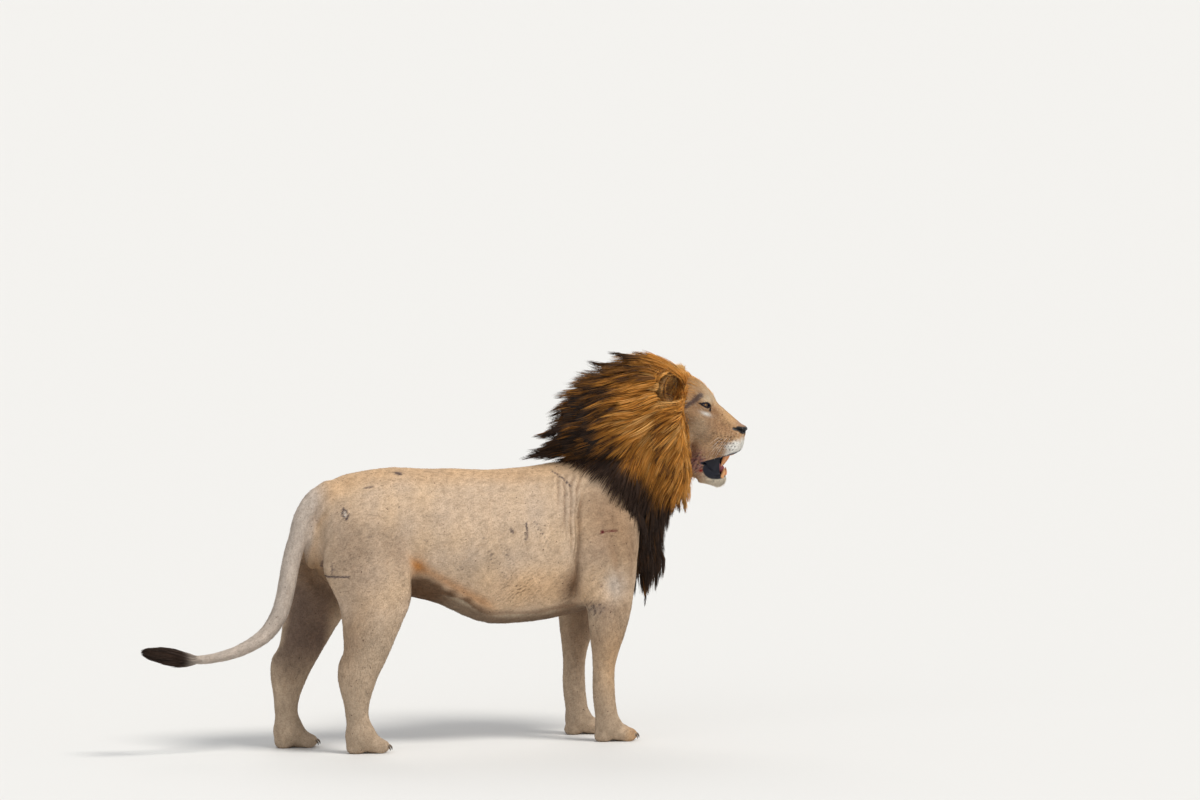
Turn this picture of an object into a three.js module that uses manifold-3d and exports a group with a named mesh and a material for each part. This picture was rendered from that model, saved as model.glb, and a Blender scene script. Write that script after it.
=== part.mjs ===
// A life-size adult male lion, standing, head raised and turned to its right, mouth open, mane blown
// back and the tail hanging behind it. The body is one smooth field of distances, built
// from named muscles and bones and parted into named nodes by thin cuts. The mane is a second field,
// hollowed where the flesh is. Millimetres, +X to the nose, +Y to the animal's left, +Z up.
import * as THREE from "three";
import { mergeVertices } from "three/addons/utils/BufferGeometryUtils.js";
import Module from "manifold-3d";

const wasm = await Module();
wasm.setup();

// ---- Driving dimensions ----
const GAP = 0.6; // left between neighbouring nodes
const RIGHT = -1;
const LEFT = 1;

const HEAD_AT = [947, -77, 1382]; // midway between the eyes
const HEAD_YAW = -32; // degrees, towards the animal's right
const HEAD_PITCH = 6; // degrees, nose down

const EYE = { x: 20, side: 63, z: 0, radius: 19 };
const EAR = { x: -124, side: 106, z: 42 };

const PAW_FLAT = 9; // the height that the pads stand at, as the legs are drawn

// Stations along the trunk from rump to chest: x, top, bottom and half width.
const TRUNK = [
  { x: -738, top: 985, bottom: 840, half: 56 },
  { x: -690, top: 1075, bottom: 720, half: 120 },
  { x: -575, top: 1138, bottom: 655, half: 165 },
  { x: -400, top: 1160, bottom: 640, half: 175 },
  { x: -200, top: 1152, bottom: 592, half: 180 },
  { x: 0, top: 1138, bottom: 508, half: 205 },
  { x: 180, top: 1138, bottom: 497, half: 212 },
  { x: 340, top: 1158, bottom: 515, half: 200 },
  { x: 500, top: 1150, bottom: 550, half: 178 },
  { x: 600, top: 1090, bottom: 620, half: 150 },
  { x: 665, top: 950, bottom: 730, half: 90 },
];

// Each leg: the joints from top to foot. wide and deep are half sizes of the flesh there.
const FORELEG = {
  shoulder: { x: 545, y: 128, z: 900, deep: 105, wide: 62 },
  arm: { x: 524, y: 148, z: 745, deep: 114, wide: 66 },
  elbow: { x: 514, y: 150, z: 610, deep: 106, wide: 62 },
  forearm: { x: 506, y: 146, z: 475, deep: 84, wide: 56 },
  lower: { x: 492, y: 140, z: 330, deep: 52, wide: 46 },
  wrist: { x: 492, y: 138, z: 205, deep: 50, wide: 47 },
  pastern: { x: 505, y: 138, z: 105, deep: 50, wide: 52 },
};
const HINDLEG = {
  hip: { x: -560, y: 105, z: 930, deep: 150, wide: 80 },
  thigh: { x: -560, y: 135, z: 770, deep: 178, wide: 82 },
  knee: { x: -528, y: 158, z: 610, deep: 148, wide: 74 },
  calf: { x: -544, y: 158, z: 480, deep: 116, wide: 60 },
  shank: { x: -568, y: 153, z: 375, deep: 92, wide: 50 },
  hock: { x: -588, y: 148, z: 300, deep: 76, wide: 46 },
  metatarsus: { x: -597, y: 146, z: 190, deep: 54, wide: 44 },
  pastern: { x: -585, y: 146, z: 100, deep: 50, wide: 50 },
};
// How far each foot stands from its drawn place: the left feet stand further back.
const STRIDE = { foreRight: 0, foreLeft: -22, hindRight: 0, hindLeft: -205 };
const strideAt = (stride, z, top) => stride * (1 - (z / top) ** 2); // the part of it taken up at z

const TAIL = [
  { x: -668, z: 1062, r: 58 },
  { x: -735, z: 1030, r: 48 },
  { x: -782, z: 965, r: 43 },
  { x: -803, z: 890, r: 42 },
  { x: -828, z: 813, r: 41 },
  { x: -845, z: 735, r: 40 },
  { x: -861, z: 656, r: 39 },
  { x: -886, z: 578, r: 38 },
  { x: -934, z: 508, r: 35 },
  { x: -1000, z: 462, r: 31 },
  { x: -1080, z: 429, r: 27 },
  { x: -1170, z: 410, r: 23 },
  { x: -1250, z: 406, r: 20 },
];
const TAIL_SWAY = -20; // the tail hangs this far to the right
const TUFT = [
  { x: -1252, z: 406, r: 20 },
  { x: -1290, z: 409, r: 30 },
  { x: -1340, z: 418, r: 41 },
  { x: -1400, z: 430, r: 42 },
  { x: -1450, z: 440, r: 30 },
  { x: -1486, z: 446, r: 9 },
];

// ---- Colours ----
const paint = (hex, roughness) =>
  new THREE.MeshStandardMaterial({ color: hex, roughness, metalness: 0 });
const COAT = paint(0xc0a480, 0.9);
const PALE_COAT = paint(0xcbbba6, 0.9);
const TAIL_COAT = paint(0xb3a698, 0.9);
const FACE_COAT = paint(0xb9946a, 0.85);
const MANE_TAWNY = paint(0xb5762e, 0.9);
const MANE_BROWN = paint(0x5c3f28, 0.9);
const MANE_BLACK = paint(0x2b211d, 0.9);
const BLACK_SKIN = paint(0x17151a, 0.45);
const CHIN_COAT = paint(0xd9d2c6, 0.9);
const TONGUE_SKIN = paint(0xb5636a, 0.5);
const EYE_AMBER = paint(0xb07a2a, 0.1);

// ---- Distance fields ----
const smoothMin = (a, b, blend) => {
  const h = Math.max(blend - Math.abs(a - b), 0) / blend;
  return Math.min(a, b) - (h * h * blend) / 4;
};
const smoothMax = (a, b, blend) => -smoothMin(-a, -b, blend);
const mix = (a, b, t) => a + (b - a) * t;
const clamp01 = (t) => Math.min(Math.max(t, 0), 1);

// Distance to an ellipsoid whose offset and radii are given, close to exact near its surface.
const ellipsoidal = (dx, dy, dz, rx, ry, rz) => {
  const k0 = Math.hypot(dx / rx, dy / ry, dz / rz);
  const k1 = Math.hypot(dx / (rx * rx), dy / (ry * ry), dz / (rz * rz));
  return k1 > 1e-9 ? (k0 * (k0 - 1)) / k1 : -Math.min(rx, ry, rz);
};

// An ellipsoid, pitched nose down by tilt degrees.
const blob = ([cx, cy, cz], [rx, ry, rz], tilt = 0) => {
  const c = Math.cos((tilt * Math.PI) / 180);
  const s = Math.sin((tilt * Math.PI) / 180);
  return (x, y, z) => {
    const dx = x - cx;
    const dz = z - cz;
    return ellipsoidal(dx * c - dz * s, y - cy, dx * s + dz * c, rx, ry, rz);
  };
};

// A tapered limb from a to b with half sizes deep (fore and aft) and wide (side to side).
const bone = (a, b) => {
  const axis = [b.x - a.x, b.y - a.y, b.z - a.z];
  const length2 = axis[0] ** 2 + axis[1] ** 2 + axis[2] ** 2;
  return (x, y, z) => {
    const along =
      ((x - a.x) * axis[0] + (y - a.y) * axis[1] + (z - a.z) * axis[2]) / length2;
    const t = clamp01(along);
    const dx = x - mix(a.x, b.x, t);
    const dy = y - mix(a.y, b.y, t);
    const dz = z - mix(a.z, b.z, t);
    const deep = mix(a.deep, b.deep, t);
    const wide = mix(a.wide, b.wide, t);
    return ellipsoidal(dx, dy, dz, deep, wide, deep);
  };
};

const union = (blend, fields) => (x, y, z) =>
  fields.reduce((d, f) => smoothMin(d, f(x, y, z), blend), 1e4);

const chain = (stations, blend) =>
  union(blend, stations.slice(1).map((b, i) => bone(stations[i], b)));

// Smooth interpolation of one value of a station table at x (Catmull-Rom, flat outside).
const along = (table, key, x) => {
  const last = table.length - 1;
  if (x <= table[0].x) return table[0][key];
  if (x >= table[last].x) return table[last][key];
  const i = table.findIndex((s) => s.x > x) - 1;
  const [p0, p1, p2, p3] = [i - 1, i, i + 1, i + 2].map(
    (j) => table[Math.min(Math.max(j, 0), last)],
  );
  const span = p2.x - p1.x;
  const t = (x - p1.x) / span;
  const slope1 = ((p2[key] - p0[key]) / (p2.x - p0.x)) * span;
  const slope2 = ((p3[key] - p1[key]) / (p3.x - p1.x)) * span;
  const t2 = t * t;
  const t3 = t2 * t;
  return (
    p1[key] * (2 * t3 - 3 * t2 + 1) +
    p2[key] * (3 * t2 - 2 * t3) +
    slope1 * (t3 - 2 * t2 + t) +
    slope2 * (t3 - t2)
  );
};

// ---- The trunk: oval sections along x, slightly squared, narrower at the spine ----
const trunkField = (x, y, z) => {
  const first = TRUNK[0];
  const last = TRUNK[TRUNK.length - 1];
  const at = Math.min(Math.max(x, first.x), last.x);
  const top = along(TRUNK, "top", at);
  const bottom = along(TRUNK, "bottom", at);
  const height = (top - bottom) / 2;
  const dz = z - (top + bottom) / 2;
  const narrowing = 1 - 0.2 * clamp01(dz / height) ** 2;
  const half = along(TRUNK, "half", at) * narrowing;
  const beyond = x - at;
  const cap = Math.min(height, half);
  return ellipsoidal(beyond, y, dz, cap, half, height);
};

// ---- The legs ----
// The joints moved to one side and, by the stride, further from the hip the lower they are.
const posed = (joints, side, stride) => {
  const names = Object.keys(joints);
  const top = joints[names[0]].z;
  return names.map((name) => {
    const j = joints[name];
    return { ...j, x: j.x + strideAt(stride, j.z, top), y: j.y * side };
  });
};

// A paw: heel pad, a broad body and four toes, over flat pads at ground level.
const pawField = (foot, side, long) => {
  const parts = [
    blob([foot.x + 12, foot.y, 62], [62, 52, 50]),
    blob([foot.x + 58, foot.y, 42], [50, 57, 40]),
    blob([foot.x - 18, foot.y, 30], [38, 42, 32]),
  ];
  const toes = [-42, -15, 15, 42];
  for (const [i, offset] of toes.entries()) {
    const inner = i === 1 || i === 2;
    const reach = long + (inner ? 14 : -4);
    parts.push(blob([foot.x + reach, foot.y + offset * side, 34], [33, 17, 30]));
  }
  return union(14, parts);
};

const foreleg = (side, stride) => {
  const joints = posed(FORELEG, side, stride);
  const foot = joints[joints.length - 1];
  const elbow = joints[2];
  return union(30, [
    chain(joints, 40),
    blob([elbow.x - 68, elbow.y, 640], [42, 40, 60], 8),
    blob([joints[1].x - 40, side * 150, 770], [95, 58, 105], 15),
    pawField(foot, side, 84),
  ]);
};

const hindleg = (side, stride) => {
  const joints = posed(HINDLEG, side, stride);
  const foot = joints[joints.length - 1];
  const heel = joints[5];
  return union(30, [
    chain(joints, 40),
    blob([heel.x - 58, heel.y, 318], [26, 24, 54], -12),
    blob([joints[1].x + 105, side * 150, 720], [95, 58, 130], -18),
    pawField(foot, side, 82),
  ]);
};

// ---- The head, in its own frame: x to the nose, z up, zero midway between the eyes ----
const pair = (make) => [make(RIGHT), make(LEFT)];

const upperFace = union(22, [
  blob([-78, 0, 12], [112, 84, 92]),
  blob([-12, 0, -2], [62, 56, 58], 38),
  bone({ x: 20, y: 0, z: -12, deep: 44, wide: 38 }, { x: 164, y: 0, z: -97, deep: 33, wide: 33 }),
  bone({ x: 60, y: 0, z: -90, deep: 62, wide: 52 }, { x: 142, y: 0, z: -124, deep: 44, wide: 46 }),
  ...pair((s) => blob([18, s * 48, 22], [36, 26, 17], 34)),
  ...pair((s) => blob([-24, s * 80, -52], [58, 36, 44])),
  ...pair((s) => blob([-68, s * 76, -130], [62, 44, 86])),
  ...pair((s) => blob([44, s * 50, -128], [62, 36, 58])),
  ...pair((s) => blob([138, s * 34, -146], [52, 36, 47], 8)),
  ...pair((s) =>
    bone(
      { x: 146, y: s * 38, z: -174, deep: 24, wide: 26 },
      { x: 34, y: s * 56, z: -202, deep: 42, wide: 30 },
    ),
  ),
]);

const lowerJaw = union(18, [
  ...pair((s) =>
    bone(
      { x: -60, y: s * 58, z: -225, deep: 52, wide: 30 },
      { x: 62, y: s * 34, z: -288, deep: 33, wide: 24 },
    ),
  ),
  bone({ x: 40, y: 0, z: -306, deep: 24, wide: 34 }, { x: 104, y: 0, z: -300, deep: 33, wide: 33 }),
]);

// The open mouth: a wedge right through between the lips, and the hollow inside the jaws.
const MOUTH_CORNER = [40, -240];
const mouthHollow = (x, y, z) => {
  const ahead = x - MOUTH_CORNER[0];
  const drop = z - MOUTH_CORNER[1];
  const wedge = Math.max(drop - 0.4 * ahead, -drop - 0.28 * ahead) * 0.94;
  return smoothMin(wedge, mouthInside(x, y, z), 10);
};
const mouthInside = union(12, [
  bone({ x: 44, y: 0, z: -232, deep: 24, wide: 34 }, { x: 128, y: 0, z: -210, deep: 26, wide: 25 }),
  bone({ x: 50, y: 0, z: -262, deep: 16, wide: 24 }, { x: 104, y: 0, z: -276, deep: 16, wide: 20 }),
]);

const faceLocal = (x, y, z) =>
  smoothMax(smoothMin(upperFace(x, y, z), lowerJaw(x, y, z), 30), -mouthHollow(x, y, z), 8);

const headMatrix = new THREE.Matrix4()
  .makeTranslation(...HEAD_AT)
  .multiply(new THREE.Matrix4().makeRotationZ((HEAD_YAW * Math.PI) / 180))
  .multiply(new THREE.Matrix4().makeRotationY((HEAD_PITCH * Math.PI) / 180));
const toHead = headMatrix.clone().invert();
const inHead = (field) => {
  const m = toHead.elements;
  return (x, y, z) =>
    field(
      m[0] * x + m[4] * y + m[8] * z + m[12],
      m[1] * x + m[5] * y + m[9] * z + m[13],
      m[2] * x + m[6] * y + m[10] * z + m[14],
    );
};
const fromHead = (x, y, z) => new THREE.Vector3(x, y, z).applyMatrix4(headMatrix);

// ---- The neck, shoulders, haunch details ----
const neckField = chain(
  [
    { x: 815, y: -32, z: 1330, deep: 112, wide: 92 },
    { x: 720, y: -15, z: 1235, deep: 138, wide: 108 },
    { x: 590, y: 0, z: 1060, deep: 178, wide: 135 },
    { x: 520, y: 0, z: 930, deep: 200, wide: 150 },
  ],
  60,
);
const rumpField = union(40, [
  bone(
    { x: -600, y: 0, z: 1030, deep: 80, wide: 70 },
    { x: -712, y: TAIL_SWAY, z: 1034, deep: 44, wide: 42 },
  ),
  blob([-735, -8, 800], [34, 40, 48]),
  blob([-722, -4, 870], [34, 30, 70]),
]);

const bodyField = union(55, [
  trunkField,
  neckField,
  rumpField,
  foreleg(RIGHT, STRIDE.foreRight),
  foreleg(LEFT, STRIDE.foreLeft),
  hindleg(RIGHT, STRIDE.hindRight),
  hindleg(LEFT, STRIDE.hindLeft),
]);
const face = inHead(faceLocal);
const flesh = (x, y, z) => smoothMin(bodyField(x, y, z), face(x, y, z), 45);

// ---- The mane ----
const lock = (from, to) =>
  bone(
    { x: from[0], y: from[1], z: from[2], deep: from[3], wide: from[3] },
    { x: to[0], y: to[1], z: to[2], deep: to[3], wide: to[3] },
  );
const maneMass = union(60, [
  blob([715, -28, 1396], [190, 208, 204], -10),
  blob([560, -5, 1312], [218, 202, 236], 34),
  lock([560, 0, 1285, 142], [392, 0, 1232, 82]),
  ...pair((s) => blob([775, -38 + s * 104, 1250], [130, 124, 200], 6)),
  blob([792, -44, 1120], [118, 168, 175]),
  blob([672, -15, 1010], [145, 172, 205], -14),
  lock([706, -10, 930, 118], [736, -5, 705, 70]),
]);
// Locks that break the outline: rows swept back from the crown and nape, the beard and the chest.
const sweep = (count, place) =>
  Array.from({ length: count }, (_, i) => place(i / (count - 1), i % 2 ? 1 : -1));
const maneLocks = union(18, [
  ...sweep(6, (t, s) =>
    lock(
      [mix(720, 510, t), s * 40, mix(1530, 1370, t), 62],
      [mix(570, 345, t), s * 52, mix(1604, 1362, t), 9],
    ),
  ),
  ...sweep(4, (t, s) =>
    lock(
      [mix(490, 430, t), s * mix(90, 30, t), mix(1305, 1226, t), 58],
      [mix(290, 205, t), s * mix(70, 12, t), mix(1292, 1184, t), 12],
    ),
  ),
  lock([400, 0, 1205, 60], [172, 0, 1166, 7]),
  ...sweep(4, (t, s) =>
    lock(
      [mix(850, 780, t), -55 + s * mix(20, 90, t), 1040, 62],
      [mix(890, 815, t), -50 + s * mix(14, 80, t), mix(915, 940, t), 9],
    ),
  ),
  ...sweep(4, (t, s) =>
    lock(
      [mix(765, 700, t), s * mix(20, 62, t), 735, 58],
      [mix(772, 706, t), s * mix(10, 46, t), mix(600, 575, t), 9],
    ),
  ),
  lock([735, 0, 700, 56], [730, 0, 535, 8]),
]);
// The ruff stands round the face, in the head's frame, and is fuller on the left at eye height.
const ruff = inHead(
  union(40, [
    ...pair((s) => blob([-92, s * 98, 10], [58, 60, 105])),
    ...pair((s) => blob([-72, s * 92, -120], [60, 62, 120])),
    ...pair((s) => blob([-45, s * 70, -250], [62, 58, 100])),
    blob([-98, 0, 88], [58, 90, 42]),
    blob([-48, 72, 62], [44, 38, 34]),
  ]),
);
// The bare face and the front of the ears push through the mane, which ends at a slanting edge.
const rooms = union(30, [
  blob([95, 0, -90], [150, 125, 150]),
  blob([70, 0, -215], [105, 92, 150]),
  ...pair((s) => blob([EAR.x + 4, s * (EAR.side + 76), EAR.z + 16], [60, 86, 74])),
]);
const maneEdge = (z) => -37 - 0.178 * z;
const faceClearing = inHead((x, y, z) => smoothMin((maneEdge(z) - x) * 0.98, rooms(x, y, z), 30));
const maneField = (x, y, z) => {
  const mass = smoothMin(maneMass(x, y, z), ruff(x, y, z), 50);
  return smoothMax(smoothMin(mass, maneLocks(x, y, z), 26), -faceClearing(x, y, z), 24);
};

// ---- Meshing: marching tetrahedra, then each vertex is slid along the gradient onto the surface ----
const ORDERS = [[0, 1, 2], [1, 2, 0], [2, 0, 1], [0, 2, 1], [2, 1, 0], [1, 0, 2]];
const NEAREST = 0.08; // of a step: how near a crossing comes to a grid point
const isEven = (order) => {
  let swaps = 0;
  for (let a = 0; a < 4; a++) for (let b = a + 1; b < 4; b++) if (order[a] > order[b]) swaps++;
  return swaps % 2 === 0;
};
// The corners of one tetrahedron as [alone, ...others] or [inside, inside, outside, outside].
const sorted = (inside, rightHanded) => {
  const within = [0, 1, 2, 3].filter((c) => inside[c]);
  const without = [0, 1, 2, 3].filter((c) => !inside[c]);
  const order = within.length === 3 ? [...without, ...within] : [...within, ...without];
  if (isEven(order) !== rightHanded) [order[2], order[3]] = [order[3], order[2]];
  return { order, count: within.length };
};
const surface = (open, low, high, step) => {
  const size = high.map((h, a) => Math.floor((h - low[a]) / step) + 1);
  const strides = [size[1] * size[2], size[2], 1];
  const place = (g) =>
    strides.map((s, a) => low[a] + step * (Math.floor(g / s) % size[a]));
  const value = new Float64Array(size[0] * strides[0]);
  for (let g = 0; g < value.length; g++) {
    const rim = strides.some((s, a) => [0, size[a] - 1].includes(Math.floor(g / s) % size[a]));
    const d = rim ? step / 2 : open(...place(g));
    value[g] = d < 0 ? Math.min(d, -NEAREST * step) : Math.max(d, NEAREST * step);
  }
  const points = [];
  const crossings = new Map();
  const crossing = (a, b) => {
    const key = Math.min(a, b) * value.length + Math.max(a, b);
    if (!crossings.has(key)) {
      const t = value[a] / (value[a] - value[b]);
      const end = place(b);
      crossings.set(key, points.push(place(a).map((w, n) => mix(w, end[n], t))) - 1);
    }
    return crossings.get(key);
  };
  const faces = [];
  const tetra = (corners, rightHanded) => {
    const inside = corners.map((g) => value[g] < 0);
    if (inside.every((w) => w === inside[0])) return;
    const { order, count } = sorted(inside, rightHanded);
    const [i, j, k, l] = order.map((c) => corners[c]);
    if (count === 2) {
      const [p, q, r, t] = [crossing(i, k), crossing(i, l), crossing(j, l), crossing(j, k)];
      faces.push(p, q, r, p, r, t);
    } else {
      const tri = [crossing(i, j), crossing(i, k), crossing(i, l)];
      faces.push(...(count === 1 ? tri : tri.reverse()));
    }
  };
  for (let i = 0; i < size[0] - 1; i++)
    for (let j = 0; j < size[1] - 1; j++)
      for (let k = 0; k < size[2] - 1; k++) {
        const g = i * strides[0] + j * strides[1] + k;
        for (const [n, axes] of ORDERS.entries()) {
          const a = g + strides[axes[0]];
          const b = a + strides[axes[1]];
          tetra([g, a, b, b + strides[axes[2]]], n < 3);
        }
      }
  const h = 1;
  const reach = 0.25 * step;
  for (const p of points)
    for (let pass = 0; pass < 2; pass++) {
      const d = open(...p);
      const g = [0, 1, 2].map((a) => open(...p.map((w, n) => (n === a ? w + h : w))) - d);
      const steep = Math.max(g[0] ** 2 + g[1] ** 2 + g[2] ** 2, 0.05);
      const move = Math.min(Math.max(d / steep, -reach), reach);
      for (let n = 0; n < 3; n++) p[n] -= g[n] * move;
    }
  return { points, faces };
};

// Edge collapse by quadric error: vertices are dropped onto a neighbour, never moved, so the result
// keeps to the surface. Each pass takes the cheapest edges that don't touch each other.
const PASS_SHARE = 0.12; // of the edges, in one pass
const LEAST_TURN = 0.25; // cosine that a face's normal may turn by
const SLIVER = 1; // twice the area of a face too thin for its normal to count
const simplify = ({ points, faces }, target, longest = Infinity) => {
  const quadric = points.map(() => new Float64Array(10));
  const facesOf = points.map(() => new Set());
  const tris = [];
  for (let i = 0; i < faces.length; i += 3) tris.push(faces.slice(i, i + 3));
  const normalOf = (a, b, c) => {
    const [p, q, r] = [points[a], points[b], points[c]];
    const u = q.map((w, n) => w - p[n]);
    const v = r.map((w, n) => w - p[n]);
    return [u[1] * v[2] - u[2] * v[1], u[2] * v[0] - u[0] * v[2], u[0] * v[1] - u[1] * v[0]];
  };
  tris.forEach((tri, f) => {
    const n = normalOf(...tri);
    const size = Math.hypot(...n) || 1e-9;
    const [a, b, c] = n.map((w) => w / size);
    const p = points[tri[0]];
    const d = -(a * p[0] + b * p[1] + c * p[2]);
    const terms = [a * a, a * b, a * c, a * d, b * b, b * c, b * d, c * c, c * d, d * d];
    for (const v of tri) {
      facesOf[v].add(f);
      terms.forEach((w, i) => (quadric[v][i] += w * size));
    }
  });
  const errorAt = (u, v, [x, y, z]) => {
    const q = quadric[u].map((w, i) => w + quadric[v][i]);
    return (
      q[0] * x * x + 2 * q[1] * x * y + 2 * q[2] * x * z + 2 * q[3] * x +
      q[4] * y * y + 2 * q[5] * y * z + 2 * q[6] * y +
      q[7] * z * z + 2 * q[8] * z + q[9]
    );
  };
  const neighbours = (v) => {
    const near = new Set();
    for (const f of facesOf[v]) for (const w of tris[f]) if (w !== v) near.add(w);
    return near;
  };
  const turns = (from, to) => {
    for (const f of facesOf[from]) {
      const tri = tris[f];
      if (tri.includes(to)) continue;
      const before = normalOf(...tri);
      if (Math.hypot(...before) < SLIVER) continue;
      const after = normalOf(...tri.map((v) => (v === from ? to : v)));
      const dot = before[0] * after[0] + before[1] * after[1] + before[2] * after[2];
      if (dot <= LEAST_TURN * Math.hypot(...before) * Math.hypot(...after)) return true;
    }
    return false;
  };
  let alive = tris.length;
  while (alive > target) {
    const edges = [];
    points.forEach((p, a) => {
      for (const b of neighbours(a)) {
        if (b === a) continue;
        const length2 = p.reduce((sum, w, i) => sum + (w - points[b][i]) ** 2, 0);
        if (length2 > longest * longest) continue;
        edges.push({ from: a, to: b, cost: errorAt(a, b, points[b]) + 1e-3 * length2 * length2 });
      }
    });
    edges.sort((a, b) => a.cost - b.cost);
    const touched = new Set();
    const before = alive;
    for (const { from, to } of edges.slice(0, Math.ceil(edges.length * PASS_SHARE))) {
      if (alive <= target) break;
      if (touched.has(from) || touched.has(to)) continue;
      const near = neighbours(to);
      const around = neighbours(from);
      if ([...around].filter((v) => near.has(v)).length !== 2 || turns(from, to)) continue;
      for (const f of [...facesOf[from]]) {
        if (tris[f].includes(to)) {
          for (const v of tris[f]) facesOf[v].delete(f);
          tris[f] = null;
          alive--;
        } else {
          tris[f] = tris[f].map((v) => (v === from ? to : v));
          facesOf[to].add(f);
        }
      }
      facesOf[from].clear();
      quadric[from].forEach((w, i) => (quadric[to][i] += w));
      for (const v of around) touched.add(v);
      touched.add(from);
    }
    if (alive === before) break;
  }
  const kept = tris.filter(Boolean);
  const order = new Map();
  for (const v of kept.flat()) if (!order.has(v)) order.set(v, order.size);
  return {
    points: [...order.keys()].map((v) => points[v]),
    faces: kept.flat().map((v) => order.get(v)),
  };
};

// ---- Solids ----
const solidOf = ({ points, faces }) =>
  new wasm.Manifold(
    new wasm.Mesh({
      numProp: 3,
      vertProperties: new Float32Array(points.flat()),
      triVerts: new Uint32Array(faces),
    }),
  );

const largest = (solid) =>
  solid.decompose().reduce((a, b) => (b.volume() > a.volume() ? b : a));

const solidFromGeometry = (geometry) => {
  const g = geometry.clone();
  g.deleteAttribute("normal");
  g.deleteAttribute("uv");
  const merged = mergeVertices(g, 1e-3);
  return new wasm.Manifold(
    new wasm.Mesh({
      numProp: 3,
      vertProperties: merged.attributes.position.array,
      triVerts: new Uint32Array(merged.index.array),
    }),
  );
};

// A cut solid without the short edges that cuts leave.
const SHORT_EDGE = 1.2;
const tidied = (solid) => {
  const { vertProperties, triVerts } = solid.getMesh();
  const points = [];
  for (let i = 0; i < vertProperties.length; i += 3) points.push([...vertProperties.slice(i, i + 3)]);
  return solidOf(simplify({ points, faces: [...triVerts] }, 0, SHORT_EDGE));
};

// The closed mesh of a field, in a given number of faces.
const fieldMesh = (field, low, high, step, target) => simplify(surface(field, low, high, step), target);
const fieldSolid = (...grid) => solidOf(fieldMesh(...grid));

// The mesh with each vertex pushed out along the gradient, to cut a neighbour clear.
const swollen = ({ points, faces }, field, by) => {
  const h = 1;
  const pushed = points.map((p) => {
    const d = field(...p);
    const g = new THREE.Vector3(
      field(p[0] + h, p[1], p[2]) - d,
      field(p[0], p[1] + h, p[2]) - d,
      field(p[0], p[1], p[2] + h) - d,
    ).normalize();
    return [p[0] + g.x * by, p[1] + g.y * by, p[2] + g.z * by];
  });
  return solidOf({ points: pushed, faces });
};

// A box from low to high, grown by grow on every side.
const FAR = 3000;
const box = (low, high, grow = 0) => {
  const size = high.map((h, i) => h - low[i] + 2 * grow);
  const g = new THREE.BoxGeometry(...size);
  g.translate(...high.map((h, i) => (h + low[i]) / 2));
  return solidFromGeometry(g);
};

// Everything on the side of a plane that normal points to, starting at offset from the plane.
const side = (point, normal, offset = GAP / 2) => {
  const n = new THREE.Vector3(...normal).normalize();
  const g = new THREE.BoxGeometry(FAR, FAR, FAR);
  g.translate(0, 0, FAR / 2 + offset);
  g.applyQuaternion(new THREE.Quaternion().setFromUnitVectors(new THREE.Vector3(0, 0, 1), n));
  g.translate(...point);
  return solidFromGeometry(g);
};
const opposite = (normal) => normal.map((n) => -n);

const lion = new THREE.Group();
const add = (name, solid, material) => {
  const m = tidied(largest(solid)).getMesh();
  const geometry = new THREE.BufferGeometry();
  geometry.setAttribute("position", new THREE.BufferAttribute(m.vertProperties, 3));
  geometry.setIndex(new THREE.BufferAttribute(m.triVerts, 1));
  geometry.computeVertexNormals();
  const mesh = new THREE.Mesh(geometry, material);
  mesh.name = name;
  lion.add(mesh);
};

// ---- Cutting planes ----
const headCut = {
  point: fromHead(-92, 0, -90).toArray(),
  normal: new THREE.Vector3(0.94, 0, -0.12).transformDirection(headMatrix).toArray(),
};
const jawCut = {
  point: fromHead(42, 0, -238).toArray(),
  normal: new THREE.Vector3(0.2, 0, -1).transformDirection(headMatrix).toArray(),
};
const neckCut = { point: [600, 0, 1060], normal: [0.72, 0, 0.69] };
const waistCut = { point: [-150, 0, 800], normal: [1, 0, 0] };

// Boxes that part each leg from the trunk: the inner wall is INNER from the midline.
const INNER = 48;
const legBox = (x0, x1, top, s, grow = 0) =>
  box([x0, s > 0 ? INNER : -400, -50], [x1, s > 0 ? 400 : -INNER, top], grow);
const FORE_BOX = { x0: 345, x1: 690, top: 735 };
const HIND_BOX = { x0: -1100, x1: -365, top: 790 };
const legRegions = (grow) =>
  [RIGHT, LEFT].flatMap((s) => [
    legBox(FORE_BOX.x0, FORE_BOX.x1, FORE_BOX.top, s, grow),
    legBox(HIND_BOX.x0, HIND_BOX.x1, HIND_BOX.top, s, grow),
  ]);

// ---- The flesh: one mesh for the body, a finer one for the head and each paw ----
const BODY_GRID = { low: [-850, -330, 60], high: [1010, 330, 1480], step: 27, target: 2300 };
const bodyMesh = fieldMesh(flesh, BODY_GRID.low, BODY_GRID.high, BODY_GRID.step, BODY_GRID.target);
const body = solidOf(bodyMesh);
const trunkOnly = legRegions(GAP).reduce((solid, b) => solid.subtract(b), body);
const behindNeck = trunkOnly.intersect(side(neckCut.point, opposite(neckCut.normal)));
add("trunk_front", behindNeck.intersect(side(waistCut.point, waistCut.normal)), COAT);

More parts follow.
